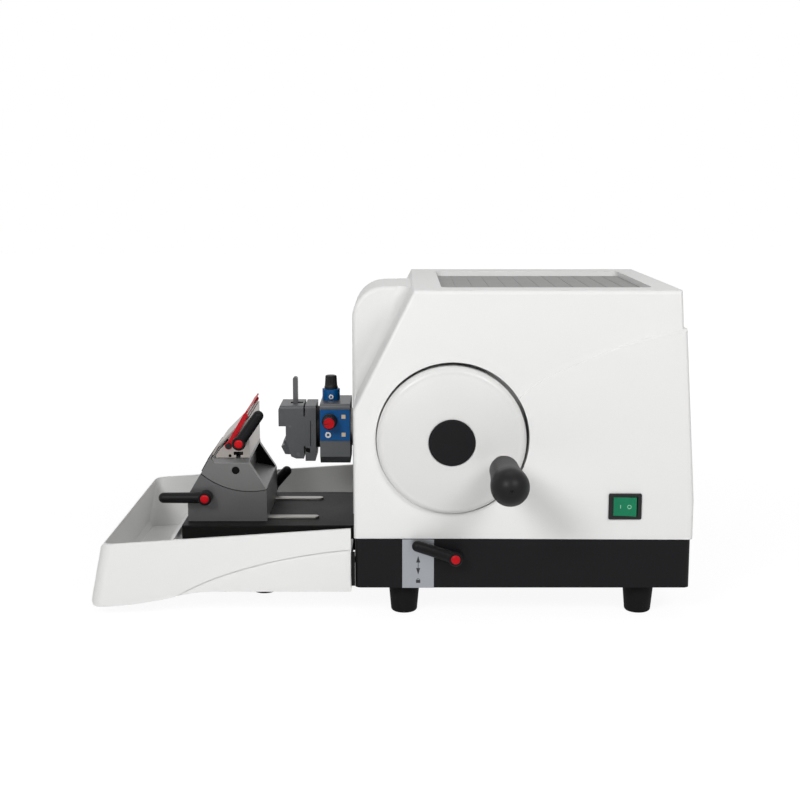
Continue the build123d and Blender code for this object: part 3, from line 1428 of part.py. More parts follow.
# Blade holder base with a hollow cylindrical seat for the tilting segment
holder_y0 = mid_y - holder_half_width
holder_y1 = mid_y + holder_half_width
holder_knee_x = edge_x - arc_radius * sin(radians(41.0))
holder_knee_z = edge_z - arc_radius * cos(radians(41.0))
holder_heel_z = edge_z - sqrt(arc_radius**2 - (holder_back_x - edge_x)**2)
with BuildPart() as holder_base:
    with BuildSketch(side(holder_y0)):
        with BuildLine():
            Polyline(
                (holder_knee_x, holder_knee_z), (holder_front_x, holder_shoulder_z),
                (holder_front_x, holder_z),
                (holder_back_x, holder_z), (holder_back_x, holder_heel_z),
            )
            RadiusArc((holder_back_x, holder_heel_z), (holder_knee_x, holder_knee_z), arc_radius)
        make_face()
    extrude(amount=-2 * holder_half_width)
    with BuildSketch(plan(holder_z)):
        with Locations(((rail_front_x + rail_back_x) / 2, mid_y)):
            with GridLocations(1, 2 * rail_spread, 1, 2):
                Rectangle(2 * (rail_back_x - rail_front_x), rail_width + 2 * slip_gap)
    extrude(amount=rail_proud, mode=Mode.SUBTRACT)
    with BuildSketch(plan(holder_z)):
        with Locations(((holder_front_x + holder_back_x) / 2, mid_y)):
            Circle(4 + seat_gap)
    extrude(amount=12, mode=Mode.SUBTRACT)
    round_bar(
        segment_lever_x, segment_lever_z, holder_y0 - 1, holder_y0 + 30, lever_shaft_radius + running_fit,
        Mode.SUBTRACT,
    )
    round_bar(
        foot_lever_x, foot_lever_z, holder_y1 - 30, holder_y1 + 1, lever_shaft_radius + running_fit,
        Mode.SUBTRACT,
    )
holder_base.part.label = "holder_base"

# Tee nut that holds the blade holder down in the slot of the tongue
with BuildPart() as tee_nut:
    with BuildSketch(plan(tongue_top_z - tee_depth + slip_gap)):
        with Locations(((holder_front_x + holder_back_x) / 2, mid_y)):
            Rectangle(30, tee_width - 2 * slip_gap)
    extrude(amount=tee_depth - tee_lip - 2 * slip_gap)
    with BuildSketch(plan(tongue_top_z - tee_lip - 1)):
        with Locations(((holder_front_x + holder_back_x) / 2, mid_y)):
            Circle(4)
    extrude(amount=tee_lip + 11)
tee_nut.part.label = "tee_nut"

# Tilting segment: a slice of a cylinder about the blade edge, pocketed behind
segment_arc = arc_radius - arc_gap
slot_x = (segment_front_x + edge_x) / 2 + 7.6
segment_knee_x = edge_x - segment_arc * sin(radians(41.0))
segment_knee_z = edge_z - segment_arc * cos(radians(41.0))
segment_heel_x = holder_back_x - 0.3
segment_heel_z = edge_z - sqrt(segment_arc**2 - (segment_heel_x - edge_x)**2)
with BuildPart() as tilt_segment:
    with BuildSketch(side(holder_y0)):
        with BuildLine():
            Polyline(
                (segment_knee_x, segment_knee_z), (segment_front_x - 1.7, segment_top_z + 1.2),
                (segment_front_x - 0.7, segment_top_z + 1.2), (segment_front_x + 0.3, segment_top_z),
                (edge_x - 1.0, segment_top_z), (edge_x - 1.0, segment_top_z - 4.7),
                (segment_heel_x, segment_heel_z),
            )
            RadiusArc((segment_heel_x, segment_heel_z), (segment_knee_x, segment_knee_z), segment_arc)
        make_face()
    extrude(amount=-2 * holder_half_width)
    seat_face = tilt_segment.faces().filter_by(Axis.Z).sort_by(SortBy.AREA)[-1]
    chamfer(seat_face.edges().filter_by(Axis.X), segment_chamfer)
    # Pocket between the two cheeks
    pocket_half = holder_half_width - 9
    with BuildSketch(side(mid_y - pocket_half)):
        with BuildLine():
            Polyline(
                (edge_x - 5.2, segment_top_z - 3.5), (edge_x - 5.2, segment_top_z - 27.2),
                (holder_back_x - 2, segment_top_z - 31.2), (holder_back_x + 8, segment_top_z - 31.2),
                (holder_back_x + 8, segment_top_z - 3.5), close=True,
            )
        make_face()
    extrude(amount=-2 * pocket_half, mode=Mode.SUBTRACT)
    round_bar(slot_x - 2.45, segment_top_z - 11.9, holder_y0 - 1, holder_y0 + 12, 4, Mode.SUBTRACT)
    # Tee rail on which the carrier is shifted sideways
    rail_half = carrier_half_width - 22
    with BuildSketch(side(mid_y - rail_half)):
        with Locations((slot_x, segment_top_z)):
            Rectangle(
                slot_neck_width - 2 * slip_gap, slot_neck_height + carrier_gap + slip_gap,
                align=(Align.CENTER, Align.MIN),
            )
        with Locations((slot_x, segment_top_z + carrier_gap + slot_neck_height + slip_gap)):
            Rectangle(
                slot_bar_width - 2 * slip_gap, slot_bar_height - 2 * slip_gap, align=(Align.CENTER, Align.MIN)
            )
    extrude(amount=-2 * rail_half)
tilt_segment.part.label = "tilt_segment"

# Blade carrier: wedge under the blade, with the tee slot in its sole
lean = radians(blade_angle)
down_x = -cos(lean)
down_z = -sin(lean)
out_x = -sin(lean)
out_z = cos(lean)


def on_blade(along, off):
    """Point in side view, measured down the blade from its edge and out from its middle plane."""
    return (edge_x + along * down_x + off * out_x, edge_z + along * down_z + off * out_z)


carrier_y0 = mid_y - carrier_half_width
carrier_z = segment_top_z + carrier_gap
with BuildPart() as blade_carrier:
    seat = -blade_thickness / 2
    with BuildSketch(side(carrier_y0)):
        with BuildLine():
            Polyline(
                on_blade(1.2, seat), on_blade(relief_start, seat), on_blade(relief_start, -relief_depth),
                on_blade(plate_length - 1, -relief_depth), (carrier_front_x, carrier_z + 2),
                (carrier_front_x, carrier_z), (edge_x - 1.0, carrier_z),
                (edge_x - 1.0, edge_z - 4), close=True,
            )
        make_face()
        with Locations((slot_x, carrier_z)):
            Rectangle(
                slot_neck_width, slot_neck_height + 1, align=(Align.CENTER, Align.MIN), mode=Mode.SUBTRACT
            )
        with Locations((slot_x, carrier_z + slot_neck_height)):
            Rectangle(
                slot_bar_width, slot_bar_height, align=(Align.CENTER, Align.MIN), mode=Mode.SUBTRACT
            )
    extrude(amount=-2 * carrier_half_width)
    round_bar(slot_x - 8.65, carrier_z + 2, carrier_y0 - 1, carrier_y0 + 8, 1.6, Mode.SUBTRACT)
    round_bar(
        press_lever_x, press_lever_z, carrier_y0 - 1, carrier_y0 + 30, lever_shaft_radius + running_fit,
        Mode.SUBTRACT,
    )
    for end_y in (carrier_y0, mid_y + carrier_half_width):
        round_bar(
            guard_pivot_x, guard_pivot_z, end_y - 8, end_y + 8, guard_pin_radius - 1 + running_fit,
            Mode.SUBTRACT,
        )
    # Two slots for the hinge lugs of the pressure plate, each crossed by a pin
    hinge_x, hinge_z = on_blade(pressure_pivot, -hinge_depth)
    for hand in (-1, 1):
        lug_y = mid_y + hand * hinge_spread
        with BuildSketch(side(lug_y - hinge_width / 2 - slip_gap)):
            with BuildLine():
                Polyline(
                    on_blade(pressure_pivot - 6, 1), on_blade(pressure_pivot - 6, -hinge_depth - 5),
                    on_blade(pressure_pivot + 6, -hinge_depth - 5), on_blade(pressure_pivot + 6, 1),
                    close=True,
                )
            make_face()
        extrude(amount=-hinge_width - 2 * slip_gap, mode=Mode.SUBTRACT)
        round_bar(
            hinge_x, hinge_z, lug_y - hinge_width / 2 - 2, lug_y + hinge_width / 2 + 2, hinge_pin_radius
        )
blade_carrier.part.label = "blade_carrier"

# Disposable blade
with BuildPart() as blade:
    with BuildSketch(side(mid_y - blade_length / 2)):
        with BuildLine():
            Polyline(
                on_blade(0, 0), on_blade(0.7, blade_thickness / 2),
                on_blade(blade_width, blade_thickness / 2),
                on_blade(blade_width, -blade_thickness / 2), on_blade(0.7, -blade_thickness / 2), close=True,
            )
        make_face()
    extrude(amount=-blade_length)
blade.part.label = "blade"

# Pressure plate over the blade, bent at its foot, with two hinge lugs
plate_in = blade_thickness / 2 + slip_gap
plate_out = plate_in + pressure_thickness
leg_x = -cos(radians(plate_leg_angle))
leg_z = -sin(radians(plate_leg_angle))
knee = on_blade(plate_length, plate_in)
outer_knee = on_blade(plate_length + 0.5, plate_out)
press_half = carrier_half_width - 4
with BuildPart() as pressure_plate:
    with BuildSketch(side(mid_y - press_half)):
        with BuildLine():
            Polyline(
                on_blade(1.3, plate_in), on_blade(2.2, plate_out), outer_knee,
                (outer_knee[0] + plate_leg * leg_x, outer_knee[1] + plate_leg * leg_z),
                (knee[0] + plate_leg * leg_x, knee[1] + plate_leg * leg_z), knee, close=True,
            )
        make_face()
    extrude(amount=-2 * press_half)
    for hand in (-1, 1):
        lug_y0 = mid_y + hand * hinge_spread - hinge_width / 2
        with BuildSketch(side(lug_y0)):
            with BuildLine():
                Polyline(
                    on_blade(pressure_pivot - hinge_lug_radius, plate_in),
                    on_blade(pressure_pivot - hinge_lug_radius, -hinge_depth),
                    on_blade(pressure_pivot + hinge_lug_radius, -hinge_depth),
                    on_blade(pressure_pivot + hinge_lug_radius, plate_in), close=True,
                )
            make_face()
            with Locations((hinge_x, hinge_z)):
                Circle(hinge_lug_radius)
                Circle(hinge_pin_radius + running_fit, mode=Mode.SUBTRACT)
        extrude(amount=-hinge_width)
pressure_plate.part.label = "pressure_plate"

# Red guard: two side arms joined by a bar in front of the blade edge
guard_x, guard_z = on_blade(1.0, plate_out + guard_clearance)
guard_angle = degrees(atan2(guard_z - guard_pivot_z, guard_x - guard_pivot_x))
guard_length = sqrt((guard_z - guard_pivot_z)**2 + (guard_x - guard_pivot_x)**2)
with BuildPart() as blade_guard:
    for arm_y in (carrier_y0 - slip_gap - guard_thickness, mid_y + carrier_half_width + slip_gap):
        guard_plane = Plane(
            origin=(guard_pivot_x, arm_y, guard_pivot_z),
            x_dir=(cos(radians(guard_angle)), 0, sin(radians(guard_angle))),
            z_dir=(0, -1, 0),
        )
        with BuildSketch(guard_plane):
            with Locations(((guard_length - 1) / 2, 0)):
                SlotOverall(guard_length + 3.5, guard_strip)
            Circle(guard_pin_radius + 1)
            Circle(guard_pin_radius - 1 + running_fit, mode=Mode.SUBTRACT)
        extrude(amount=-guard_thickness)
    with BuildSketch(side(carrier_y0 - slip_gap - guard_thickness)):
        with Locations(Location((guard_x, guard_z, 0), (0, 0, guard_angle))):
            Rectangle(guard_bar_width, 1.8, align=(Align.CENTER, Align.MIN))
    extrude(amount=-2 * (carrier_half_width + slip_gap + guard_thickness))
blade_guard.part.label = "blade_guard"

with BuildPart() as guard_pins:
    for hand, end_y in ((1, carrier_y0), (-1, mid_y + carrier_half_width)):
        head_y = end_y - hand * (2 * slip_gap + guard_thickness)
        round_bar(guard_pivot_x, guard_pivot_z, head_y, end_y + hand * 6, guard_pin_radius - 1)
        round_bar(guard_pivot_x, guard_pivot_z, head_y, head_y - hand * 2.4, guard_pin_radius)
guard_pins.part.label = "guard_pins"

# Three more clamping levers: segment, pressure plate and holder foot
segment_lever = clamping_lever(
    segment_lever_x, segment_lever_z, holder_y0 - slip_gap, 1, 180, segment_lever_length, 28
)
segment_lever.part.label = "segment_lever"
segment_button = release_button(segment_lever_x, segment_lever_z, holder_y0 - slip_gap)
segment_button.part.label = "segment_button"
press_seat_y = carrier_y0 - guard_thickness - 3 * slip_gap
pressure_lever = clamping_lever(
    press_lever_x, press_lever_z, press_seat_y, 1, press_lever_angle, press_lever_length, 28
)
pressure_lever.part.label = "pressure_lever"
pressure_button = release_button(press_lever_x, press_lever_z, press_seat_y)
pressure_button.part.label = "pressure_button"
foot_lever = clamping_lever(
    foot_lever_x, foot_lever_z, holder_y1 + slip_gap, -1, foot_lever_angle, foot_lever_length, 28, False
)
foot_lever.part.label = "foot_lever"


def tray_outline():
    """Side view of the waste tray, with its nose rounded above and below."""
    with BuildLine() as line:
        Line((tray_back_x, tray_floor_z), (tray_back_x, tray_rim_back_z))
        Line((tray_back_x, tray_rim_back_z), (tray_rim_front_x, tray_rim_front_z))
        ThreePointArc(
            (tray_rim_front_x, tray_rim_front_z), (tray_lip_x + 2.6, tray_lip_z + 4.2),
            (tray_lip_x, tray_lip_z),
        )
        Line((tray_lip_x, tray_lip_z), (tray_tip_x, tray_tip_z))
        ThreePointArc(
            (tray_tip_x, tray_tip_z), (tray_tip_x + 1.9, tray_low_z + 1.9), (tray_low_x, tray_low_z)
        )
        Spline(
            (tray_low_x, tray_low_z), (tray_sag_x, tray_sag_z), (tray_bend_x, tray_floor_z),
            tangents=((1, 0.02), (1, 0)),
        )
        Line((tray_bend_x, tray_floor_z), (tray_back_x, tray_floor_z))
    return line.line


def hollow_outline():
    """Side view of the tray's hollow, one wall inside the outline and open above the rim."""
    front_x = tray_lip_x + 1.1 * tray_wall
    with BuildLine() as line:
        Line(
            (tray_back_x - tray_wall, tray_floor_z + tray_wall),
            (tray_back_x - tray_wall, tray_rim_back_z + 5),
        )
        Line((tray_back_x - tray_wall, tray_rim_back_z + 5), (front_x, tray_rim_back_z + 5))
        Line((front_x, tray_rim_back_z + 5), (front_x, tray_lip_z))
        Line((front_x, tray_lip_z), (tray_tip_x + 1.3 * tray_wall, tray_tip_z + tray_wall))
        Line((tray_tip_x + 1.3 * tray_wall, tray_tip_z + tray_wall), (tray_low_x + 1, tray_low_z + tray_wall))
        Spline(
            (tray_low_x + 1, tray_low_z + tray_wall), (tray_sag_x, tray_sag_z + tray_wall),
            (tray_bend_x, tray_floor_z + tray_wall), tangents=((1, 0.02), (1, 0)),
        )
        Line((tray_bend_x, tray_floor_z + tray_wall), (tray_back_x - tray_wall, tray_floor_z + tray_wall))
    return line.edges()


def tray_block(inset, corner):
    """Leaning block with round front corners, which gives the tray or its hollow its plan."""
    lean = (tray_lip_x - tray_tip_x) / (tray_lip_z - tray_tip_z)
    front_x = tray_tip_x - lean * tray_tip_z + inset - seat_gap
    block_length = -front_x
    with BuildPart() as block:
        with BuildSketch(plan(0)):
            with Locations((front_x + block_length / 2, mid_y)):
                RectangleRounded(block_length, body_width - 2 * inset, corner)
        extrude(amount=2 * tray_rim_back_z, dir=(lean, 0, 1))
    return block.part


# Waste tray: a deep dish open to the tongue, hung on two pins of the base
notch_length = tray_back_x - tray_notch_x
with BuildPart() as notch_block:
    add(prism(tray_outline(), near_y, far_y))
    with BuildSketch(plan(0)):
        with Locations((tray_back_x - notch_length / 2 - tray_wall / 2, mid_y)):
            Rectangle(notch_length + tray_wall, 2 * (tray_notch_half + tray_wall))
    extrude(amount=tray_inner_z, mode=Mode.INTERSECT)

with BuildPart() as tray_hollow:
    add(prism(hollow_outline(), near_y, far_y))
    add(tray_block(tray_wall, tray_inner_corner), mode=Mode.INTERSECT)

with BuildPart() as waste_tray:
    add(prism(tray_outline(), near_y - 1, far_y + 1))
    add(tray_block(0, tray_corner), mode=Mode.INTERSECT)
    add(tray_hollow.part, mode=Mode.SUBTRACT)
    # Low wall round the notch for the tongue, and low rear walls beside it
    add(notch_block.part)
    with BuildSketch(plan(0)):
        with Locations((tray_back_x - notch_length / 2 + 1, mid_y)):
            Rectangle(notch_length + 2, 2 * tray_notch_half)
    extrude(amount=tray_rim_back_z + 1, mode=Mode.SUBTRACT)
    with BuildSketch(plan(tray_inner_z)):
        with Locations((tray_back_x, mid_y)):
            Rectangle(2 * tray_wall + 2, body_width - 2 * tray_wall)
    extrude(amount=tray_rim_back_z, mode=Mode.SUBTRACT)
    # Low area below the crease on both sides
    for face_y, inward in ((near_y, -1), (far_y, 1)):
        with BuildSketch(side(face_y)):
            with BuildLine():
                Spline(
                    (-37.0, 68.8), (-87.4, 62.3), (-136.3, 51.2), (-185.4, 34.0), (-215.0, 18.0),
                )
                Polyline((-215.0, 18.0), (-215.0, 5.0), (-37.0, 5.0), (-37.0, 68.8))
            make_face()
        extrude(amount=inward * tray_groove, mode=Mode.SUBTRACT)
    with BuildSketch(cross(tray_back_x - tray_wall - 1)):
        with Locations((mid_y, tray_pin_z)):
            with GridLocations(2 * tray_pin_spread, 1, 2, 1):
                Circle(tray_pin_radius + slip_gap)
    extrude(amount=tray_wall + 2, mode=Mode.SUBTRACT)
waste_tray.part.label = "waste_tray"

# Coarse feed wheel with finger flutes, a hub and its shaft
with BuildPart() as feed_wheel:
    round_bar(
        feed_wheel_x, feed_wheel_z, feed_wheel_face_y - feed_wheel_width, feed_wheel_face_y, feed_wheel_radius
    )
    with BuildSketch(side(feed_wheel_face_y - feed_wheel_width - 1)):
        with Locations((feed_wheel_x, feed_wheel_z)):
            with PolarLocations(feed_wheel_radius + 1.5, 14):
                Circle(feed_flute_radius)
    extrude(amount=-(feed_wheel_width + 2), mode=Mode.SUBTRACT)
    round_bar(
        feed_wheel_x, feed_wheel_z, feed_wheel_face_y - 4, feed_wheel_face_y + 1, feed_wheel_radius - 10,
        Mode.SUBTRACT,
    )
    encoder_y = side_y1 - shell_wall - 3 - encoder_length
    round_bar(feed_wheel_x, feed_wheel_z, side_y1 + slip_gap, feed_wheel_face_y - 5, 2 * feed_shaft_radius)
    round_bar(feed_wheel_x, feed_wheel_z, encoder_y + 2, side_y1 + 1, feed_shaft_radius)
feed_wheel.part.label = "feed_wheel"

# Encoder box that reads the wheel, standing off the wall of the housing
with BuildPart() as feed_encoder:
    with BuildSketch(side(encoder_y)):
        with Locations((feed_wheel_x, feed_wheel_z)):
            RectangleRounded(encoder_size, encoder_size, 4)
            Circle(feed_shaft_radius + running_fit, mode=Mode.SUBTRACT)
    extrude(amount=-encoder_length)
    with BuildSketch(side(encoder_y + encoder_length)):
        with Locations((feed_wheel_x, feed_wheel_z)):
            with PolarLocations(encoder_size / 2 - 4, 3, start_angle=90):
                Circle(3)
    extrude(amount=-3)
feed_encoder.part.label = "feed_encoder"

# Power switch: frame and rocker
side_proud = swoosh_rise * (switch_x - swoosh_start_x) / (back_x - swoosh_start_x)
switch_face_y = side_y0 - side_proud - 0.4
rocker_y = switch_face_y - bezel_proud + 3
with BuildPart() as switch_bezel:
    with BuildSketch(side(switch_face_y - bezel_proud)):
        with Locations((switch_x, switch_z)):
            RectangleRounded(switch_width, switch_height, 1.5)
    extrude(amount=-bezel_proud)
    chamfer(switch_bezel.faces().sort_by(Axis.Y)[0].edges(), 0.8)
    with BuildSketch(side(switch_face_y)):
        with Locations((switch_x, switch_z)):
            Rectangle(switch_width - 3 - 2 * seat_gap, switch_height - 3 - 2 * seat_gap)
    extrude(amount=-bezel_depth)
    with BuildSketch(side(switch_face_y - bezel_proud)):
        with Locations((switch_x, switch_z)):
            Rectangle(rocker_width + 2 * slip_gap, rocker_height + 2 * slip_gap)
    extrude(amount=-(bezel_proud + 10), mode=Mode.SUBTRACT)
    with BuildSketch(plan(switch_z - rocker_height / 2 - slip_gap - rocker_pin_reach - seat_gap)):
        with Locations((switch_x, rocker_y)):
            Circle(rocker_pin_radius + running_fit)
    extrude(amount=rocker_height + 2 * (slip_gap + rocker_pin_reach + seat_gap), mode=Mode.SUBTRACT)
switch_bezel.part.label = "switch_bezel"

# Rocker: two faces that meet in a shallow valley, turned about an upright axis
with BuildPart() as switch_rocker:
    half = rocker_width / 2 - moulding_gap
    with BuildSketch(plan(switch_z - rocker_height / 2)):
        with Locations(Location((switch_x, rocker_y, 0), (0, 0, -rocker_tilt))):
            Polygon(
                (-half, -3.6), (0, -2.7), (half, -3.6), (half - 1, 1.5), (half - 4, 3.2),
                (4 - half, 3.2), (1 - half, 1.5), align=None,
            )
    extrude(amount=rocker_height)
    with BuildSketch(plan(switch_z - rocker_height / 2 - slip_gap - rocker_pin_reach)):
        with Locations((switch_x, rocker_y)):
            Circle(rocker_pin_radius)
    extrude(amount=rocker_height + 2 * (slip_gap + rocker_pin_reach))
switch_rocker.part.label = "switch_rocker"

# Mains inlet in the back wall of the base
with BuildPart() as power_inlet:
    with BuildSketch(cross(base_back_x)):
        with Locations((inlet_y, inlet_z)):
            RectangleRounded(inlet_flange_width, inlet_flange_height, 3)
    extrude(amount=inlet_flange)
    with BuildSketch(cross(base_back_x)):
        with Locations((inlet_y, inlet_z)):
            Rectangle(inlet_width, inlet_height)
    extrude(amount=-inlet_depth)
    with BuildSketch(cross(base_back_x + inlet_flange)):
        with Locations((inlet_y, inlet_z)):
            Rectangle(socket_width, socket_height)
    extrude(amount=-socket_depth, mode=Mode.SUBTRACT)
    with BuildSketch(cross(base_back_x + inlet_flange - socket_depth)):
        with Locations((inlet_y - 7, inlet_z - 2), (inlet_y + 7, inlet_z - 2), (inlet_y, inlet_z + 2)):
            Rectangle(2, 4)
    extrude(amount=prong_length)
    with BuildSketch(cross(base_back_x - 1)):
        with Locations((inlet_y, inlet_z)):
            with GridLocations(40, 1, 2, 1):
                Circle(1.6)
    extrude(amount=inlet_flange + 2, mode=Mode.SUBTRACT)
power_inlet.part.label = "power_inlet"

# Power supply and control board on the floor of the base
with BuildPart() as power_supply:
    with BuildSketch(plan(floor_z)):
        with Locations((supply_x, supply_y)):
            Rectangle(supply_length, supply_width)
    extrude(amount=supply_height)
    chamfer(power_supply.edges().filter_by(Axis.Z), 1.5)
power_supply.part.label = "power_supply"

with BuildPart() as control_board:
    with BuildSketch(plan(floor_z + standoff_height)):
        with Locations((board_x, board_y)):
            Rectangle(board_length, board_width)
    extrude(amount=board_thickness)
    with BuildSketch(plan(floor_z + standoff_height + board_thickness)):
        with Locations((board_x - 30, board_y)):
            Rectangle(20, 20)
        with Locations((board_x + 25, board_y + 20)):
            Rectangle(34, 12)
        with Locations((board_x + 30, board_y - 22)):
            Circle(8)
    extrude(amount=6)
    with BuildSketch(plan(floor_z)):
        with Locations((board_x, board_y)):
            with GridLocations(board_length - 10, board_width - 10, 2, 2):
                Circle(standoff_radius)
    extrude(amount=standoff_height)
control_board.part.label = "control_board"

os.makedirs("parts", exist_ok=True)
export_step(base_casting.part, "parts/base_casting.step")
export_step(knife_tongue.part, "parts/knife_tongue.step")
export_step(tongue_rails.part, "parts/tongue_rails.step")
export_step(rubber_feet.part, "parts/rubber_feet.step")
export_step(housing_shell.part, "parts/housing_shell.step")
export_step(top_mat.part, "parts/top_mat.step")
export_step(housing_screws.part, "parts/housing_screws.step")
export_step(bearing_frame.part, "parts/bearing_frame.step")
export_step(guide_shafts.part, "parts/guide_shafts.step")
export_step(shaft_bearing.part, "parts/shaft_bearing.step")
export_step(handwheel.part, "parts/handwheel.step")
export_step(handwheel_cap.part, "parts/handwheel_cap.step")
export_step(main_shaft.part, "parts/main_shaft.step")
export_step(crank_disc.part, "parts/crank_disc.step")
export_step(handle_pin.part, "parts/handle_pin.step")
export_step(handle_grip.part, "parts/handle_grip.step")
export_step(lock_lever.part, "parts/lock_lever.step")
export_step(lock_button.part, "parts/lock_button.step")
export_step(brake_rod.part, "parts/brake_rod.step")
export_step(lock_plate.part, "parts/lock_plate.step")
export_step(slot_shield.part, "parts/slot_shield.step")
export_step(vertical_slide.part, "parts/vertical_slide.step")
export_step(feed_motor.part, "parts/feed_motor.step")
export_step(feed_screw.part, "parts/feed_screw.step")
export_step(specimen_arm.part, "parts/specimen_arm.step")
export_step(head_block.part, "parts/head_block.step")
export_step(head_side_plate.part, "parts/head_side_plate.step")
export_step(head_top_collar.part, "parts/head_top_collar.step")
export_step(head_screws.part, "parts/head_screws.step")
export_step(side_knob.part, "parts/side_knob.step")
export_step(side_knob_cap.part, "parts/side_knob_cap.step")
export_step(top_knob.part, "parts/top_knob.step")
export_step(gimbal_ring.part, "parts/gimbal_ring.step")
export_step(clamp_stem.part, "parts/clamp_stem.step")
export_step(clamp_flange.part, "parts/clamp_flange.step")
export_step(clamp_back_plate.part, "parts/clamp_back_plate.step")
export_step(clamp_body.part, "parts/clamp_body.step")
export_step(clamp_jaw.part, "parts/clamp_jaw.step")
export_step(clamp_lever.part, "parts/clamp_lever.step")
export_step(holder_base.part, "parts/holder_base.step")
export_step(tee_nut.part, "parts/tee_nut.step")
export_step(tilt_segment.part, "parts/tilt_segment.step")
export_step(blade_carrier.part, "parts/blade_carrier.step")
export_step(blade.part, "parts/blade.step")
export_step(pressure_plate.part, "parts/pressure_plate.step")
export_step(blade_guard.part, "parts/blade_guard.step")
export_step(guard_pins.part, "parts/guard_pins.step")
export_step(segment_lever.part, "parts/segment_lever.step")
export_step(segment_button.part, "parts/segment_button.step")
export_step(pressure_lever.part, "parts/pressure_lever.step")
export_step(pressure_button.part, "parts/pressure_button.step")
export_step(foot_lever.part, "parts/foot_lever.step")
export_step(waste_tray.part, "parts/waste_tray.step")
export_step(feed_wheel.part, "parts/feed_wheel.step")
export_step(feed_encoder.part, "parts/feed_encoder.step")
export_step(switch_bezel.part, "parts/switch_bezel.step")
export_step(switch_rocker.part, "parts/switch_rocker.step")
export_step(power_inlet.part, "parts/power_inlet.step")
export_step(power_supply.part, "parts/power_supply.step")
export_step(control_board.part, "parts/control_board.step")
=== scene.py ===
"""Rotary microtome: finishes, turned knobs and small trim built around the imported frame."""
from __future__ import annotations

import json
import logging
import math
from dataclasses import dataclass
from enum import Enum
from typing import Iterable, Optional, Sequence

import bmesh
import bpy
from mathutils import Matrix, Vector

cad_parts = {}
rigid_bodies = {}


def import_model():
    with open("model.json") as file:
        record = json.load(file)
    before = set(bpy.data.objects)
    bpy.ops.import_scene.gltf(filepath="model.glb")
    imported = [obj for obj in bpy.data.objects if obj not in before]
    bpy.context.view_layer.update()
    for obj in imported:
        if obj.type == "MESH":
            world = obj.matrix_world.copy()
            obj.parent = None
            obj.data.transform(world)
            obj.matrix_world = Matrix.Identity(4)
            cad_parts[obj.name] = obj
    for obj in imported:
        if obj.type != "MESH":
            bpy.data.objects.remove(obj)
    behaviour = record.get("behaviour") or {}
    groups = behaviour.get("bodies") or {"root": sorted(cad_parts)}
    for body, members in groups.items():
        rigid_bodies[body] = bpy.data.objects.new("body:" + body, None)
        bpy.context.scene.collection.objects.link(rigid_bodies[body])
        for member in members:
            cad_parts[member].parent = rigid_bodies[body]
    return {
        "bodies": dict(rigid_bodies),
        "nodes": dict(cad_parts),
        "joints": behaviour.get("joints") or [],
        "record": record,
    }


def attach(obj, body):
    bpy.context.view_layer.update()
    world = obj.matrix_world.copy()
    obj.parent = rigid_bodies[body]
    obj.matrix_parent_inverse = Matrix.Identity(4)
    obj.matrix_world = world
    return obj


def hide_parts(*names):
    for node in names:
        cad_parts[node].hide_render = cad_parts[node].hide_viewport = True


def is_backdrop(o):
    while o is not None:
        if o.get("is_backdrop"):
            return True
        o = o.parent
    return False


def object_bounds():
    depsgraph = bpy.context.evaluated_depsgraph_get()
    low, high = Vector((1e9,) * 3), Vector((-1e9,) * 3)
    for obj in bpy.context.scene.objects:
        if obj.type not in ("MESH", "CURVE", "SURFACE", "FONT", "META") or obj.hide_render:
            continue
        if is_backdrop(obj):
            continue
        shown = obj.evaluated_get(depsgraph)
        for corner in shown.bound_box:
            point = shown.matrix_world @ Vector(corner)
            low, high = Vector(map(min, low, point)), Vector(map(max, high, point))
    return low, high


LOG = logging.getLogger("microtome")
MM = 0.001
SAME_POINT = 1e-7
SLANT = Vector((1.0, 0.618034, 0.414214))
NOISE_MIDDLE = 0.5
BEVEL_STEPS = 2
HEAD_STEPS = 40
HEAD_BREAK = 0.1
Rgb = tuple[float, float, float]
Point = tuple[float, float, float]
Flat = tuple[float, float]


# Shader maths


class Wire:
    """An output socket of a material's node tree; arithmetic on it adds Math nodes."""

    def __init__(self, recipe: "Recipe", socket: bpy.types.NodeSocket) -> None:
        """Keep the socket and the recipe that it belongs to."""
        self.recipe = recipe
        self.socket = socket

    def _math(self, operation: str, first: object, second: object) -> "Wire":
        """Add one Math node for the operation on two values or wires."""
        return self.recipe.node("ShaderNodeMath", {"operation": operation}, {0: first, 1: second})

    def __add__(self, other: object) -> "Wire":
        """Sum."""
        return self._math("ADD", self, other)

    __radd__ = __add__

    def __sub__(self, other: object) -> "Wire":
        """Difference."""
        return self._math("SUBTRACT", self, other)

    def __mul__(self, other: object) -> "Wire":
        """Product."""
        return self._math("MULTIPLY", self, other)

    def above(self, limit: float) -> "Wire":
        """One where the value is above the limit, else nought."""
        return self._math("GREATER_THAN", self, limit)


class Turbulence(Enum):
    """Detail and roughness of a noise, by what it imitates."""

    CLOUD = (4.0, 0.55)
    GRAIN = (2.0, 0.6)
    STREAK = (3.0, 0.6)
    GROUND_LINES = (4.0, 0.65)
    FILM = (3.0, 0.5)
    BLOOM = (4.0, 0.6)
    HAZE = (2.0, 0.5)


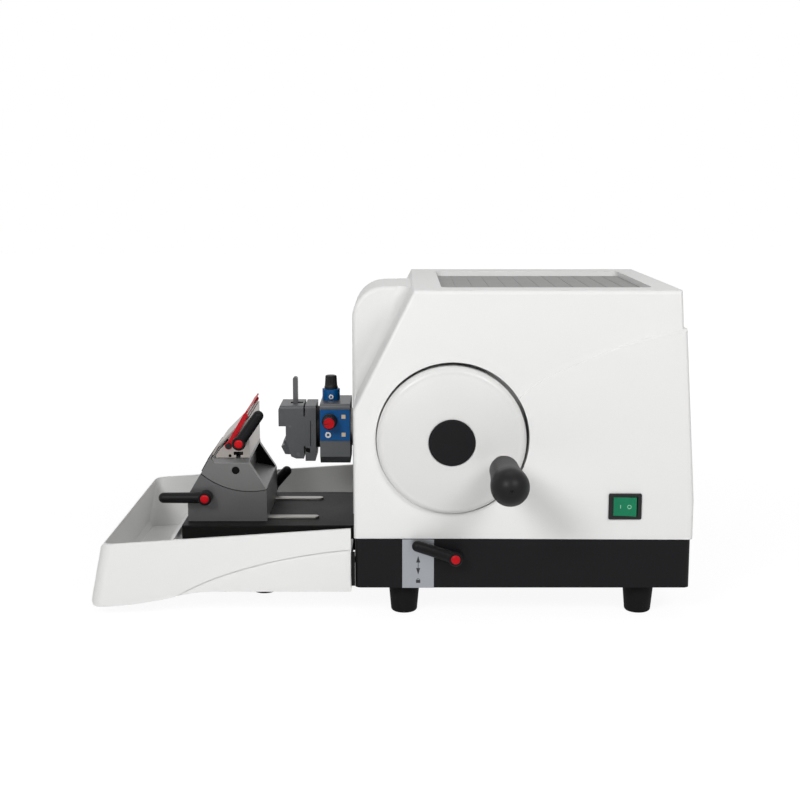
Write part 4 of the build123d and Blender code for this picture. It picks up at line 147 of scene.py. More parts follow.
class Recipe:
    """One material being written: a node tree that ends in a Principled shader."""

    def __init__(self, name: str) -> None:
        """Start an empty material.

        Args:
            name: the material's name.
        """
        self.material = bpy.data.materials.new(name)
        self.material.use_nodes = True
        self.tree = self.material.node_tree
        self.tree.nodes.clear()
        self.shader = self.tree.nodes.new("ShaderNodeBsdfPrincipled")
        self.output = self.tree.nodes.new("ShaderNodeOutputMaterial")
        self.tree.links.new(self.shader.outputs[0], self.output.inputs[0])

    def feed(self, socket: bpy.types.NodeSocket, value: object) -> None:
        """Link a wire to a socket, or set the socket's own value.

        Args:
            socket: the input.
            value: a wire, a number or a colour without its alpha.
        """
        if isinstance(value, Wire):
            self.tree.links.new(value.socket, socket)
        elif isinstance(value, tuple) and len(value) == 3 and len(socket.default_value) == 4:
            socket.default_value = (*value, 1.0)
        else:
            socket.default_value = value

    def node(
        self, kind: str, settings: Optional[dict] = None, inputs: Optional[dict] = None, output: object = 0
    ) -> Wire:
        """Add any node.

        Args:
            kind: the node's type.
            settings: its properties, set before its sockets.
            inputs: values or wires by socket name or number.
            output: which output to return.

        Returns:
            The chosen output.
        """
        made = self.tree.nodes.new(kind)
        for key, value in (settings or {}).items():
            setattr(made, key, value)
        for key, value in (inputs or {}).items():
            self.feed(made.inputs[key], value)
        return Wire(self, made.outputs[output])

    def place(self, stretch: Point = (1.0, 1.0, 1.0)) -> Wire:
        """Object coordinates, stretched."""
        raw = self.node("ShaderNodeTexCoord", output="Object")
        return self.node("ShaderNodeVectorMath", {"operation": "MULTIPLY"}, {0: raw, 1: stretch})

    def noise(self, vector: Wire, scale: float, kind: Turbulence) -> Wire:
        """Noise of that many cells per unit of the vector.

        Args:
            vector: where the noise is read.
            scale: its cells per unit.
            kind: its detail and roughness.

        Returns:
            The noise, from nought to one.
        """
        detail, rough = kind.value
        inputs = {"Vector": vector, "Scale": scale, "Detail": detail, "Roughness": rough}
        return self.node("ShaderNodeTexNoise", None, inputs)

    def blend(self, factor: object, low: object, high: object) -> Wire:
        """Mix of two colours."""
        inputs = {"Factor": factor, 6: low, 7: high}
        return self.node("ShaderNodeMix", {"data_type": "RGBA"}, inputs, output=2)

    def bump(self, height: Wire, depth: float, strength: float = 1.0) -> Wire:
        """Normal of a surface that is raised by height times depth metres."""
        inputs = {"Height": height, "Distance": depth, "Strength": strength}
        return self.node("ShaderNodeBump", None, inputs)

    def finish(self, **sockets: object) -> bpy.types.Material:
        """Set the shader's sockets.

        Args:
            sockets: values or wires by the socket's name, with underscores for spaces.

        Returns:
            The material.
        """
        for key, value in sockets.items():
            self.feed(self.shader.inputs[key.replace("_", " ")], value)
        return self.material


# Finishes


@dataclass(frozen=True)
class Coating:
    """Paint, powder coat, anodising or moulded plastic: fine grain over slight unevenness."""

    name: str
    colour: Rgb
    slot: str
    roughness: float = 0.4
    grain: float = 0.0007
    relief: float = 0.00001
    mottle: float = 0.05
    metallic: float = 0.0
    coat: float = 0.0
    scuff: float = 0.0
    gloss: float = 0.5
    coat_roughness: float = 0.15
    cloud_cells: float = 14.0
    cloud_sway: float = 0.12
    cloud_relief: float = 0.3
    grain_sway: float = 0.08
    scuff_stretch: Point = (900.0, 60.0, 320.0)
    scuff_least: float = 0.62
    scuff_gain: float = 5.0

    def make(self) -> bpy.types.Material:
        """Write the material.

        Returns:
            The material.
        """
        recipe = Recipe(self.name)
        spot = recipe.place()
        cloud = recipe.noise(spot, self.cloud_cells, Turbulence.CLOUD)
        grain = recipe.noise(spot, 1.0 / self.grain, Turbulence.GRAIN)
        dark = tuple(channel * (1.0 - self.mottle) for channel in self.colour)
        light = tuple(min(1.0, channel * (1.0 + self.mottle)) for channel in self.colour)
        rough = self.roughness + (cloud - NOISE_MIDDLE) * self.cloud_sway
        rough = rough + (grain - NOISE_MIDDLE) * self.grain_sway
        if self.scuff > 0.0:
            streak = recipe.noise(recipe.place(self.scuff_stretch), 1.0, Turbulence.STREAK)
            worn = (streak - self.scuff_least) * self.scuff_gain
            rough = rough + worn.above(0.0) * worn * self.scuff
        return recipe.finish(
            Base_Color=recipe.blend(cloud, dark, light), Roughness=rough, Metallic=self.metallic,
            Coat_Weight=self.coat, Coat_Roughness=self.coat_roughness, Specular_IOR_Level=self.gloss,
            Normal=recipe.bump(grain + cloud * self.cloud_relief, self.relief),
        )


class Lay(Enum):
    """Direction of the marks that grinding or turning left, as a stretch of the noise."""

    ALONG_X = (30.0, 2600.0, 2600.0)
    ALONG_Y = (2600.0, 30.0, 2600.0)
    ALONG_Z = (2600.0, 2600.0, 30.0)


@dataclass(frozen=True)
class Ground:
    """Bare metal with ground or brushed lines."""

    name: str
    colour: Rgb
    slot: str
    roughness: float = 0.3
    lay: Lay = Lay.ALONG_Y
    relief: float = 0.000004
    stain: float = 0.12
    film_cells: float = 45.0
    film_share: float = 0.6
    film_sway: float = 0.1
    line_share: float = 0.4
    line_sway: float = 0.25

    def make(self) -> bpy.types.Material:
        """Write the material.

        Returns:
            The material.
        """
        recipe = Recipe(self.name)
        lines = recipe.noise(recipe.place(self.lay.value), 1.0, Turbulence.GROUND_LINES)
        film = recipe.noise(recipe.place(), self.film_cells, Turbulence.FILM)
        dull = tuple(channel * (1.0 - self.stain) for channel in self.colour)
        colour = recipe.blend(film * self.film_share + lines * self.line_share, dull, self.colour)
        rough = self.roughness + (lines - NOISE_MIDDLE) * self.line_sway
        rough = rough + (film - NOISE_MIDDLE) * self.film_sway
        return recipe.finish(
            Base_Color=colour, Roughness=rough, Metallic=1.0, Normal=recipe.bump(lines, self.relief)
        )


@dataclass(frozen=True)
class Rubber:
    """Dull rubber with a pitted skin."""

    name: str
    colour: Rgb
    slot: str
    roughness: float = 0.75
    pit: float = 0.0005
    relief: float = 0.00004
    gloss: float = 0.3
    bloom_cells: float = 25.0
    bloom_sway: float = 0.15
    bloom_gain: float = 1.3
    bloom_lift: float = 0.004

    def make(self) -> bpy.types.Material:
        """Write the material.

        Returns:
            The material.
        """
        recipe = Recipe(self.name)
        spot = recipe.place()
        pits = recipe.node(
            "ShaderNodeTexVoronoi", {"feature": "F1"}, {"Vector": spot, "Scale": 1.0 / self.pit}, "Distance"
        )
        bloom = recipe.noise(spot, self.bloom_cells, Turbulence.BLOOM)
        pale = tuple(channel * self.bloom_gain + self.bloom_lift for channel in self.colour)
        return recipe.finish(
            Base_Color=recipe.blend(bloom, self.colour, pale),
            Roughness=self.roughness + (bloom - NOISE_MIDDLE) * self.bloom_sway,
            Specular_IOR_Level=self.gloss, Normal=recipe.bump(pits, self.relief),
        )


@dataclass(frozen=True)
class Lens:
    """Coloured clear plastic, moulded with fine prisms on its inner side."""

    name: str
    colour: Rgb
    slot: str
    roughness: float = 0.22
    prism: float = 0.0014
    randomness: float = 0.15
    relief: float = 0.00002
    strength: float = 0.6
    shade: float = 0.62
    prism_share: float = 0.6
    haze_share: float = 0.5
    haze_cells: float = 90.0
    haze_sway: float = 0.06
    coat: float = 0.1
    coat_roughness: float = 0.06
    gloss: float = 0.2

    def make(self) -> bpy.types.Material:
        """Write the material.

        Returns:
            The material.
        """
        recipe = Recipe(self.name)
        spot = recipe.place((1.0 / self.prism, 1.0 / self.prism, 1.0 / self.prism))
        cells = recipe.node(
            "ShaderNodeTexVoronoi", {"feature": "F1", "distance": "CHEBYCHEV"},
            {"Vector": spot, "Scale": 1.0, "Randomness": self.randomness}, "Distance",
        )
        haze = recipe.noise(recipe.place(), self.haze_cells, Turbulence.HAZE)
        deep = tuple(channel * self.shade for channel in self.colour)
        colour = recipe.blend(cells * self.prism_share + haze * self.haze_share, self.colour, deep)
        return recipe.finish(
            Base_Color=colour, Roughness=self.roughness + (haze - NOISE_MIDDLE) * self.haze_sway,
            Coat_Weight=self.coat, Coat_Roughness=self.coat_roughness, Specular_IOR_Level=self.gloss,
            Normal=recipe.bump(cells, self.relief, self.strength),
        )


Finish = Coating | Ground | Rubber | Lens


# Mesh making


class Edge(Enum):
    """Width of the break on a piece's sharp edges, in metres."""

    NONE = 0.0
    FINE = 0.00015
    BROKEN = 0.0003
    SOFT = 0.0006


class Smooth(Enum):
    """Greatest angle between faces that are shaded as one surface, in degrees."""

    SHELL = 28.0
    USUAL = 32.0
    MOULDED = 35.0
    RIBBED = 40.0


def outward(mesh: bmesh.types.BMesh) -> bmesh.types.BMesh:
    """Merge doubles, turn every face outwards, and order corners and faces along a slanting line.

    Args:
        mesh: the mesh, which is changed.

    Returns:
        The same mesh.
    """
    bmesh.ops.remove_doubles(mesh, verts=mesh.verts[:], dist=SAME_POINT)
    bmesh.ops.recalc_face_normals(mesh, faces=mesh.faces[:])
    mesh.verts.sort(key=lambda vert: vert.co.dot(SLANT))
    mesh.faces.sort(key=lambda face: face.calc_center_median().dot(SLANT))
    return mesh


def break_edges(mesh: bmesh.types.BMesh, width: float, limit: float) -> None:
    """Bevel the edges that are sharper than a limit.

    Args:
        mesh: the mesh.
        width: the bevel's width in metres.
        limit: the least angle between faces, in degrees.
    """
    sharp = [
        edge for edge in mesh.edges
        if len(edge.link_faces) == 2 and edge.calc_face_angle(0.0) > math.radians(limit)
    ]
    if sharp and width > 0.0:
        bmesh.ops.bevel(
            mesh, geom=sharp, offset=width, offset_type="OFFSET", segments=BEVEL_STEPS, profile=0.5,
            affect="EDGES", material=-1, clamp_overlap=True,
        )


def lathe(profile: Sequence[Flat], steps: int) -> bmesh.types.BMesh:
    """Turn a profile about the local Z axis.

    Args:
        profile: (radius, height) points, from one end of the axis to the other.
        steps: sides of the turning.

    Returns:
        The closed mesh.
    """
    mesh = bmesh.new()
    chain = [mesh.verts.new((radius, 0.0, height)) for radius, height in profile]
    links = [mesh.edges.new(pair) for pair in zip(chain, chain[1:])]
    bmesh.ops.spin(
        mesh, geom=chain + links, cent=(0, 0, 0), axis=(0, 0, 1), dvec=(0, 0, 0), angle=math.tau,
        steps=steps, use_merge=True, use_duplicate=False,
    )
    return outward(mesh)


def slab(outline: Sequence[Flat], thickness: float) -> bmesh.types.BMesh:
    """Raise a flat outline along the local Z axis.

    Args:
        outline: its corners.
        thickness: how far it is raised.

    Returns:
        The closed mesh.
    """
    mesh = bmesh.new()
    face = mesh.faces.new([mesh.verts.new((x, y, 0.0)) for x, y in outline])
    raised = bmesh.ops.extrude_face_region(mesh, geom=[face])
    tops = [item for item in raised["geom"] if isinstance(item, bmesh.types.BMVert)]
    bmesh.ops.translate(mesh, verts=tops, vec=(0.0, 0.0, thickness))
    return outward(mesh)


def ring(
    radius: float, hole: float, thickness: float, sweep: float = math.tau, steps: int = 32
) -> bmesh.types.BMesh:
    """Flat ring or arc about the local Z axis.

    Args:
        radius: its outer radius.
        hole: its inner radius.
        thickness: its height.
        sweep: how far it goes round, in radians.
        steps: its sides.

    Returns:
        The closed mesh.
    """
    mesh = bmesh.new()
    corners = [
        mesh.verts.new((across, 0.0, height))
        for across, height in ((hole, 0.0), (radius, 0.0), (radius, thickness), (hole, thickness))
    ]
    whole = sweep >= math.tau
    section = [mesh.edges.new(pair) for pair in zip(corners, corners[1:] + corners[:1])]
    if not whole:
        section.append(mesh.faces.new(corners))
    bmesh.ops.spin(
        mesh, geom=[*section, *corners], cent=(0, 0, 0), axis=(0, 0, 1), dvec=(0, 0, 0),
        angle=sweep, steps=steps, use_merge=whole, use_duplicate=False,
    )
    return outward(mesh)


def joined(parts: Iterable[bmesh.types.BMesh]) -> bmesh.types.BMesh:
    """Put several meshes into one.

    Args:
        parts: the meshes, which are freed.

    Returns:
        The whole.
    """
    whole = bmesh.new()
    for part in parts:
        scratch = bpy.data.meshes.new("scratch")
        part.to_mesh(scratch)
        part.free()
        whole.from_mesh(scratch)
        bpy.data.meshes.remove(scratch)
    return whole


def moved(mesh: bmesh.types.BMesh, matrix: Matrix) -> bmesh.types.BMesh:
    """Move a mesh by a matrix and return it."""
    bmesh.ops.transform(mesh, matrix=matrix, verts=mesh.verts[:])
    return mesh


def facing_operator(x: float, y: float, z: float) -> Matrix:
    """Matrix that lays local X along X and local Y along Z, and points local Z towards the operator."""
    return Matrix(((1, 0, 0, x), (0, 0, -1, y), (0, 1, 0, z), (0, 0, 0, 1)))


def rectangle(left: float, right: float, low: float, high: float) -> list[Flat]:
    """Corners of an upright rectangle."""
    return [(left, low), (right, low), (right, high), (left, high)]


def disc(centre: Point, radius: float, depth: float) -> bmesh.types.BMesh:
    """Round head or plug that faces the operator.

    Args:
        centre: the middle of its front face, in millimetres.
        radius: its radius.
        depth: how far it reaches back.

    Returns:
        The mesh, in place.
    """
    profile = [
        (0.0, -depth), (radius, -depth), (radius, -HEAD_BREAK), (radius - HEAD_BREAK, 0.0), (0.0, 0.0),
    ]
    turned = lathe([(across * MM, along * MM) for across, along in profile], HEAD_STEPS)
    x, y, z = centre
    return moved(turned, facing_operator(x * MM, y * MM, z * MM))


def patch(outline: Sequence[Flat], y: float, depth: float) -> bmesh.types.BMesh:
    """Thin plate that faces the operator.

    Args:
        outline: (x, z) corners in millimetres.
        y: its back face.
        depth: its thickness towards the operator.

    Returns:
        The mesh, in place.
    """
    flat = slab([(x * MM, z * MM) for x, z in outline], depth * MM)
    return moved(flat, facing_operator(0.0, y * MM, 0.0))


def flute(mesh: bmesh.types.BMesh, count: int, depth: float, low: float, high: float, least: float) -> None:
    """Press upright grooves into a turned piece.

    Args:
        mesh: the mesh, turned about local Z.
        count: grooves around it.
        depth: their depth.
        low: height where they start.
        high: height where they end.
        least: radius outside which the surface is grooved.
    """
    for vert in mesh.verts:
        radius = math.hypot(vert.co.x, vert.co.y)
        if radius > least and low < vert.co.z < high:
            turn = math.atan2(vert.co.y, vert.co.x) * count
            keep = 1.0 - depth * (0.5 - 0.5 * math.cos(turn)) / radius
            vert.co.x *= keep
            vert.co.y *= keep


class Workshop:
    """The loaded frame, and what turns meshes into pieces on it."""

    same_corner: float = 1e-6
    flat_within: float = 0.4
    least_volume: float = 0.95
    most_volume: float = 1.0005

    def __init__(self) -> None:
        """Load the frame."""
        self.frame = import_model()
        self.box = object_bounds()
        self.made: dict[str, bpy.types.Material] = {}
        bodies = self.frame["record"]["behaviour"]["bodies"]
        self.body_of = {node: body for body, nodes in bodies.items() for node in nodes}

    def material(self, finish: Finish) -> bpy.types.Material:
        """The finish's material, written once.

        Args:
            finish: the finish.

        Returns:
            Its material.
        """
        if finish.name not in self.made:
            self.made[finish.name] = finish.make()
        return self.made[finish.name]

    def piece(
        self, name: str, mesh: bmesh.types.BMesh, body: str, finish: Finish, smooth: Smooth = Smooth.USUAL,
        stands_for: Sequence[str] = (),
    ) -> None:
        """Make an object from a finished mesh and ride it on a body.

        Args:
            name: the piece's name.
            mesh: its mesh, in place; it is freed.
            body: the body it moves with.
            finish: its finish.
            smooth: which of its faces are shaded as one.
            stands_for: the nodes that it replaces.
        """
        for face in mesh.faces:
            face.smooth = True
        for edge in mesh.edges:
            edge.smooth = edge.calc_face_angle(0.0) < math.radians(smooth.value)
        data = bpy.data.meshes.new(name)
        mesh.to_mesh(data)
        mesh.free()
        made = bpy.data.objects.new(name, data)
        bpy.context.scene.collection.objects.link(made)
        data.materials.append(self.material(finish))
        shading = made.modifiers.new("shading", "WEIGHTED_NORMAL")
        shading.keep_sharp = True
        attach(made, body)
        if stands_for:
            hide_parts(*stands_for)
        LOG.info("%s on %s, %d faces", name, body, len(data.polygons))

    def carry(
        self, node: str, finish: Finish, edge: Edge = Edge.NONE, smooth: Smooth = Smooth.USUAL
    ) -> None:
        """Put a merged copy of a node's mesh, with broken edges and smooth curves, in the node's place.

        Args:
            node: the node.
            finish: its finish.
            edge: how its sharp edges are broken.
            smooth: which of its faces are shaded as one.
        """
        mesh = bmesh.new()
        mesh.from_mesh(self.frame["nodes"][node].data)
        bmesh.ops.remove_doubles(mesh, verts=mesh.verts[:], dist=self.same_corner)
        if edge is not Edge.NONE:
            bmesh.ops.dissolve_limit(
                mesh, angle_limit=math.radians(self.flat_within), verts=mesh.verts[:], edges=mesh.edges[:]
            )
            trial = mesh.copy()
            break_edges(trial, edge.value, smooth.value)
            before, after = abs(mesh.calc_volume()), abs(trial.calc_volume())
            if self.least_volume * before < after < self.most_volume * before:
                mesh.free()
                mesh = trial
            else:
                LOG.info("%s keeps its sharp edges", node)
                trial.free()
        self.piece(f"{node}.dressed", mesh, self.body_of[node], finish, smooth, [node])

    def paint(self, nodes: Iterable[str], finish: Finish) -> None:
        """Give a finish to nodes that stay as they are.

        Args:
            nodes: the nodes.
            finish: their finish.
        """
        for node in nodes:
            data = self.frame["nodes"][node].data
            data.materials.clear()
            data.materials.append(self.material(finish))
            LOG.info("%s keeps its shape", node)


# Shared finishes

SHELL_WHITE = Coating(
    "shell_white", (0.80, 0.80, 0.79), "white_shell", 0.42, 0.0009, 0.000012, 0.012, gloss=0.35
)
WHEEL_WHITE = Coating(
    "wheel_white", (0.71, 0.71, 0.70), "white_paint", 0.38, 0.0008, 0.000010, 0.012, coat=0.1
)
TRAY_WHITE = Coating(
    "tray_white", (0.80, 0.80, 0.79), "white_shell", 0.38, 0.0011, 0.000012, 0.015, gloss=0.4
)
BASE_BLACK = Coating(
    "base_black", (0.007, 0.007, 0.008), "black_paint", 0.50, 0.0006, 0.00003, 0.15, gloss=0.12
)
TONGUE_BLACK = Coating(
    "tongue_black", (0.006, 0.0058, 0.0055), "black_paint", 0.50, 0.0005, 0.00003, 0.2, scuff=0.2, gloss=0.08
)
LEVER_BLACK = Coating(
    "lever_black", (0.006, 0.006, 0.007), "black_paint", 0.42, 0.0004, 0.00002, 0.12, gloss=0.12
)
KNOB_BLACK = Coating(
    "knob_black", (0.010, 0.010, 0.011), "black_plastic", 0.45, 0.0004, 0.00002, 0.1, gloss=0.25
)
GRIP_BLACK = Coating(
    "grip_black", (0.009, 0.009, 0.010), "black_plastic", 0.42, 0.0012, 0.000008, 0.05, gloss=0.15
)
CAP_BLACK = Coating(
    "cap_black", (0.008, 0.008, 0.009), "black_plastic", 0.6, 0.0004, 0.00002, 0.1, gloss=0.12
)
# Deep matt black: painted shade on the sheets in the segment's pocket and the clamp's cut, and the own
# colour of the segment plug and the carrier grub.
SHADE_AND_PLUG_BLACK = Coating(
    "shade_and_plug_black", (0.004, 0.004, 0.004), "black_plastic", 0.8, 0.0005, 0.00001, 0.1, gloss=0.1
)
BUTTON_RED = Coating(
    "button_red", (0.52, 0.003, 0.008), "red_plastic", 0.34, 0.0008, 0.000008, 0.06, gloss=0.15
)
GUARD_RED = Coating(
    "guard_red", (0.52, 0.004, 0.012), "red_plastic", 0.36, 0.0008, 0.000010, 0.06, gloss=0.2
)
HEAD_GREY = Coating(
    "head_grey", (0.090, 0.094, 0.100), "grey_anodised", 0.42, 0.0003, 0.00001, 0.08, metallic=0.4
)
CLAMP_GREY = Coating(
    "clamp_grey", (0.070, 0.072, 0.077), "grey_anodised", 0.44, 0.0003, 0.00001, 0.1, metallic=0.4
)
HOLDER_GREY = Coating(
    "holder_grey", (0.110, 0.110, 0.113), "holder_metal", 0.40, 0.0003, 0.00001, 0.08, metallic=0.4
)
SEGMENT_GREY = Coating(
    "segment_grey", (0.155, 0.153, 0.152), "holder_metal", 0.38, 0.0003, 0.00001, 0.08, metallic=0.4
)
PLATE_BLUE = Coating(
    "plate_blue", (0.0, 0.080, 0.260), "blue_plate", 0.36, 0.0003, 0.000008, 0.08, gloss=0.2
)
INNER_IRON = Coating("inner_iron", (0.10, 0.10, 0.10), "cast_frame", 0.6, 0.001, 0.00008, 0.2, metallic=0.6)
BOARD_GREEN = Coating("board_green", (0.02, 0.11, 0.045), "board", 0.4, 0.002, 0.00003, 0.25, coat=0.3)
PRINT_BLACK = Coating("print_black", (0.012, 0.012, 0.014), "label_plate", 0.6, 0.0003, 0.000002, 0.1)
MARK_PALE = Coating("mark_pale", (0.30, 0.62, 0.47), "green_lens", 0.4, 0.0004, 0.000002, 0.05)
CARRIER_STEEL = Ground("carrier_steel", (0.35, 0.32, 0.30), "steel", 0.38, Lay.ALONG_X)
BRIGHT_STEEL = Ground("bright_steel", (0.60, 0.59, 0.57), "steel", 0.26, Lay.ALONG_Y)
RAIL_STEEL = Ground("rail_steel", (0.30, 0.29, 0.275), "steel", 0.34, Lay.ALONG_X)
DARK_STEEL = Ground("dark_steel", (0.11, 0.11, 0.115), "steel", 0.40, Lay.ALONG_Z)
SCREW_CHROME = Ground("screw_chrome", (0.48, 0.48, 0.48), "chrome", 0.2, Lay.ALONG_Y, 0.000001)
SCREW_BEIGE = Ground("screw_beige", (0.50, 0.40, 0.29), "chrome", 0.35, Lay.ALONG_X, 0.000002)
PLATE_SILVER = Ground("plate_silver", (0.35, 0.365, 0.39), "label_plate", 0.45, Lay.ALONG_X, 0.000002)
INNER_ALLOY = Ground("inner_alloy", (0.45, 0.45, 0.46), "aluminium", 0.42, Lay.ALONG_X)
INNER_BRONZE = Ground("inner_bronze", (0.45, 0.30, 0.14), "bronze", 0.35, Lay.ALONG_Y)
MAT_GREY = Rubber("mat_grey", (0.31, 0.31, 0.305), "grey_mat", 0.7, 0.0009, 0.00006)
FOOT_RUBBER = Rubber("foot_rubber", (0.004, 0.004, 0.004), "rubber", 0.7, gloss=0.1)
ROCKER_GREEN = Lens("rocker_green", (0.0, 0.22, 0.095), "green_lens")


# Sub-assemblies


@dataclass
class Housing:
    """Base casting, tongue, feet and white shell with the mat in its top; the black strips of painted shade
    between tray and base are in millimetres.
    """

    # Black strips over the gaps between tray and base: painted shade, in millimetres.
    gap_shade_left: float = -37.6
    gap_shade_right: float = -34.0
    gap_shade_low: float = 32.0
    gap_shade_high: float = 66.0
    gap_shade_depth: float = 2.0
    near_gap_shade_y: float = -104.4
    far_gap_shade_y: float = 192.4

    def build(self, shop: Workshop) -> None:
        """Dress the nodes that never move, and lay black strips of painted shade over the gaps between tray
        and base.

        Args:
            shop: the workshop.
        """
        shop.carry("housing_shell", SHELL_WHITE, Edge.NONE, Smooth.SHELL)
        shop.carry("base_casting", BASE_BLACK, Edge.SOFT)
        shop.carry("knife_tongue", TONGUE_BLACK, Edge.BROKEN)
        shop.carry("tongue_rails", RAIL_STEEL, Edge.FINE)
        shop.carry("rubber_feet", FOOT_RUBBER)
        # The strips are painted shade: they hide the tray's back wall, which would otherwise show lit
        # through the gaps.
        gap_shade = rectangle(self.gap_shade_left, self.gap_shade_right, self.gap_shade_low, self.gap_shade_high)
        for name, y in (("tray_gap_shade_near", self.near_gap_shade_y), ("tray_gap_shade_far", self.far_gap_shade_y)):
            shop.piece(name, patch(gap_shade, y, self.gap_shade_depth), "stand", FOOT_RUBBER)
        shop.carry("top_mat", MAT_GREY, Edge.FINE)
        shop.paint(["housing_screws"], BRIGHT_STEEL)


@dataclass
class Works:
    """Drive, guides and electronics inside the housing."""

    def build(self, shop: Workshop) -> None:
        """Give each hidden piece the finish of its stock.

        Args:
            shop: the workshop.
        """
        shop.paint(["bearing_frame"], INNER_IRON)
        shop.paint(["guide_shafts", "main_shaft", "crank_disc", "handle_pin"], BRIGHT_STEEL)
        shop.paint(["brake_rod", "feed_screw"], BRIGHT_STEEL)
        shop.paint(["gimbal_ring", "clamp_stem", "tee_nut"], BRIGHT_STEEL)
        shop.paint(["shaft_bearing"], INNER_BRONZE)
        shop.paint(["vertical_slide", "power_supply"], INNER_ALLOY)
        shop.paint(["slot_shield"], DARK_STEEL)
        shop.paint(["feed_motor", "feed_encoder"], KNOB_BLACK)
        shop.paint(["control_board"], BOARD_GREEN)


@dataclass
class Drive:
    """Handwheel with its cap and turning grip, and the coarse wheel on the far side."""

    def build(self, shop: Workshop) -> None:
        """Dress the wheels and the grip.

        Args:
            shop: the workshop.
        """
        shop.carry("handwheel", WHEEL_WHITE, Edge.BROKEN, Smooth.SHELL)
        shop.carry("handwheel_cap", CAP_BLACK, Edge.BROKEN)
        shop.carry("handle_grip", GRIP_BLACK)
        shop.carry("feed_wheel", KNOB_BLACK, Edge.BROKEN, Smooth.SHELL)


@dataclass
class Lever:
    """A clamping lever, with its release button where it has one."""

    node: str
    button: Optional[str] = None

    def build(self, shop: Workshop) -> None:
        """Dress the lever and its button.

        Args:
            shop: the workshop.
        """
        shop.carry(self.node, LEVER_BLACK, Edge.NONE, Smooth.MOULDED)
        if self.button:
            shop.carry(self.button, BUTTON_RED, Edge.NONE, Smooth.MOULDED)


@dataclass
class LockPlate:
    """Silver plate behind the lock lever, with a double arrow and a padlock sign."""

    face_y: float = -107.8 * MM
    mark_x: float = 27.6 * MM
    arrow_low: float = 43.8 * MM
    arrow_high: float = 62.6 * MM
    head_half: float = 2.0 * MM
    head_length: float = 6.6 * MM
    stem_half: float = 0.3 * MM
    lock_z: float = 35.4 * MM
    lock_half: float = 2.1 * MM
    lock_tall: float = 3.1 * MM
    bow_radius: float = 1.5 * MM
    bow_hole: float = 1.0 * MM
    bow_steps: int = 16
    ink: float = 0.05 * MM

    def arrow(self) -> bmesh.types.BMesh:
        """Double arrow, seen from the operator.

        Returns:
            The mesh, upright on local X and Y.
        """
        low, high = self.arrow_low, self.arrow_high
        neck_low, neck_high = low + self.head_length, high - self.head_length
        outline = [
            (0.0, low), (self.head_half, neck_low), (self.stem_half, neck_low), (self.stem_half, neck_high),
            (self.head_half, neck_high), (0.0, high), (-self.head_half, neck_high),
            (-self.stem_half, neck_high), (-self.stem_half, neck_low), (-self.head_half, neck_low),
        ]
        return slab(outline, self.ink)

    def padlock(self) -> bmesh.types.BMesh:
        """Padlock sign: a body with a bow over it.

        Returns:
            The mesh, upright on local X and Y.
        """
        body = slab(rectangle(-self.lock_half, self.lock_half, 0.0, self.lock_tall), self.ink)
        bow = ring(self.bow_radius, self.bow_hole, self.ink, math.pi, self.bow_steps)
        sign = joined([body, moved(bow, Matrix.Translation((0.0, self.lock_tall, 0.0)))])
        return moved(sign, Matrix.Translation((0.0, self.lock_z, 0.0)))

    def build(self, shop: Workshop) -> None:
        """Dress the plate and print its signs.

        Args:
            shop: the workshop.
        """
        shop.carry("lock_plate", PLATE_SILVER, Edge.FINE)
        place = facing_operator(self.mark_x, self.face_y, 0.0)
        for name, mesh in (("lock_plate_arrow", self.arrow()), ("lock_plate_sign", self.padlock())):
            shop.piece(name, moved(mesh, place), "stand", PRINT_BLACK)


@dataclass(frozen=True)
class Knob:
    """Ribbed knob on a stem, turned about local Z.

    The profile's steps are in millimetres: how far each point stands in from the skirt's rim or the
    ribs' radius, and how high it is over the seat or, for the crown, how deep below the end.
    """

    radius: float
    skirt: float
    length: float
    stem: float
    cup: float = 0.0
    stem_radius: float = 3.0 * MM
    skirt_steps: tuple[Flat, ...] = ((0.3, 0.0), (0.0, 0.3), (0.0, 2.2), (0.4, 2.6))
    waist_steps: tuple[Flat, ...] = ((0.0, 3.4), (0.05, 4.0))
    crown_steps: tuple[Flat, ...] = ((0.55, 1.6), (0.6, 1.0), (0.9, 0.4), (1.6, 0.0))
    cup_gap: float = 0.1 * MM
    cup_depth: float = 1.5 * MM
    ribs: int = 22
    sides_per_rib: int = 6
    rib_depth: float = 0.55 * MM
    rib_low: float = 3.6 * MM
    rib_end: float = 1.3 * MM
    rib_inset: float = 1.2 * MM

    def profile(self) -> list[Flat]:
        """Outline from the foot of the stem to the middle of the end.

        Returns:
            (radius, height) points in metres.
        """
        rim, end = self.radius + self.skirt, self.length
        points = [(0.0, -self.stem), (self.stem_radius, -self.stem), (self.stem_radius, 0.0)]
        points += [(rim - inset * MM, height * MM) for inset, height in self.skirt_steps]
        points += [(self.radius - inset * MM, height * MM) for inset, height in self.waist_steps]
        points += [(self.radius - inset * MM, end - depth * MM) for inset, depth in self.crown_steps]
        if self.cup > 0.0:
            wall = self.cup + self.cup_gap
            points += [(wall, end), (wall, end - self.cup_depth), (0.0, end - self.cup_depth)]
        else:
            points.append((0.0, end))
        return points

    def mesh(self) -> bmesh.types.BMesh:
        """The turned and ribbed knob.

        Returns:
            The mesh, with its seat at the origin.
        """
        turned = lathe(self.profile(), self.ribs * self.sides_per_rib)
        top, least = self.length - self.rib_end, self.radius - self.rib_inset
        flute(turned, self.ribs, self.rib_depth, self.rib_low, top, least)
        return turned


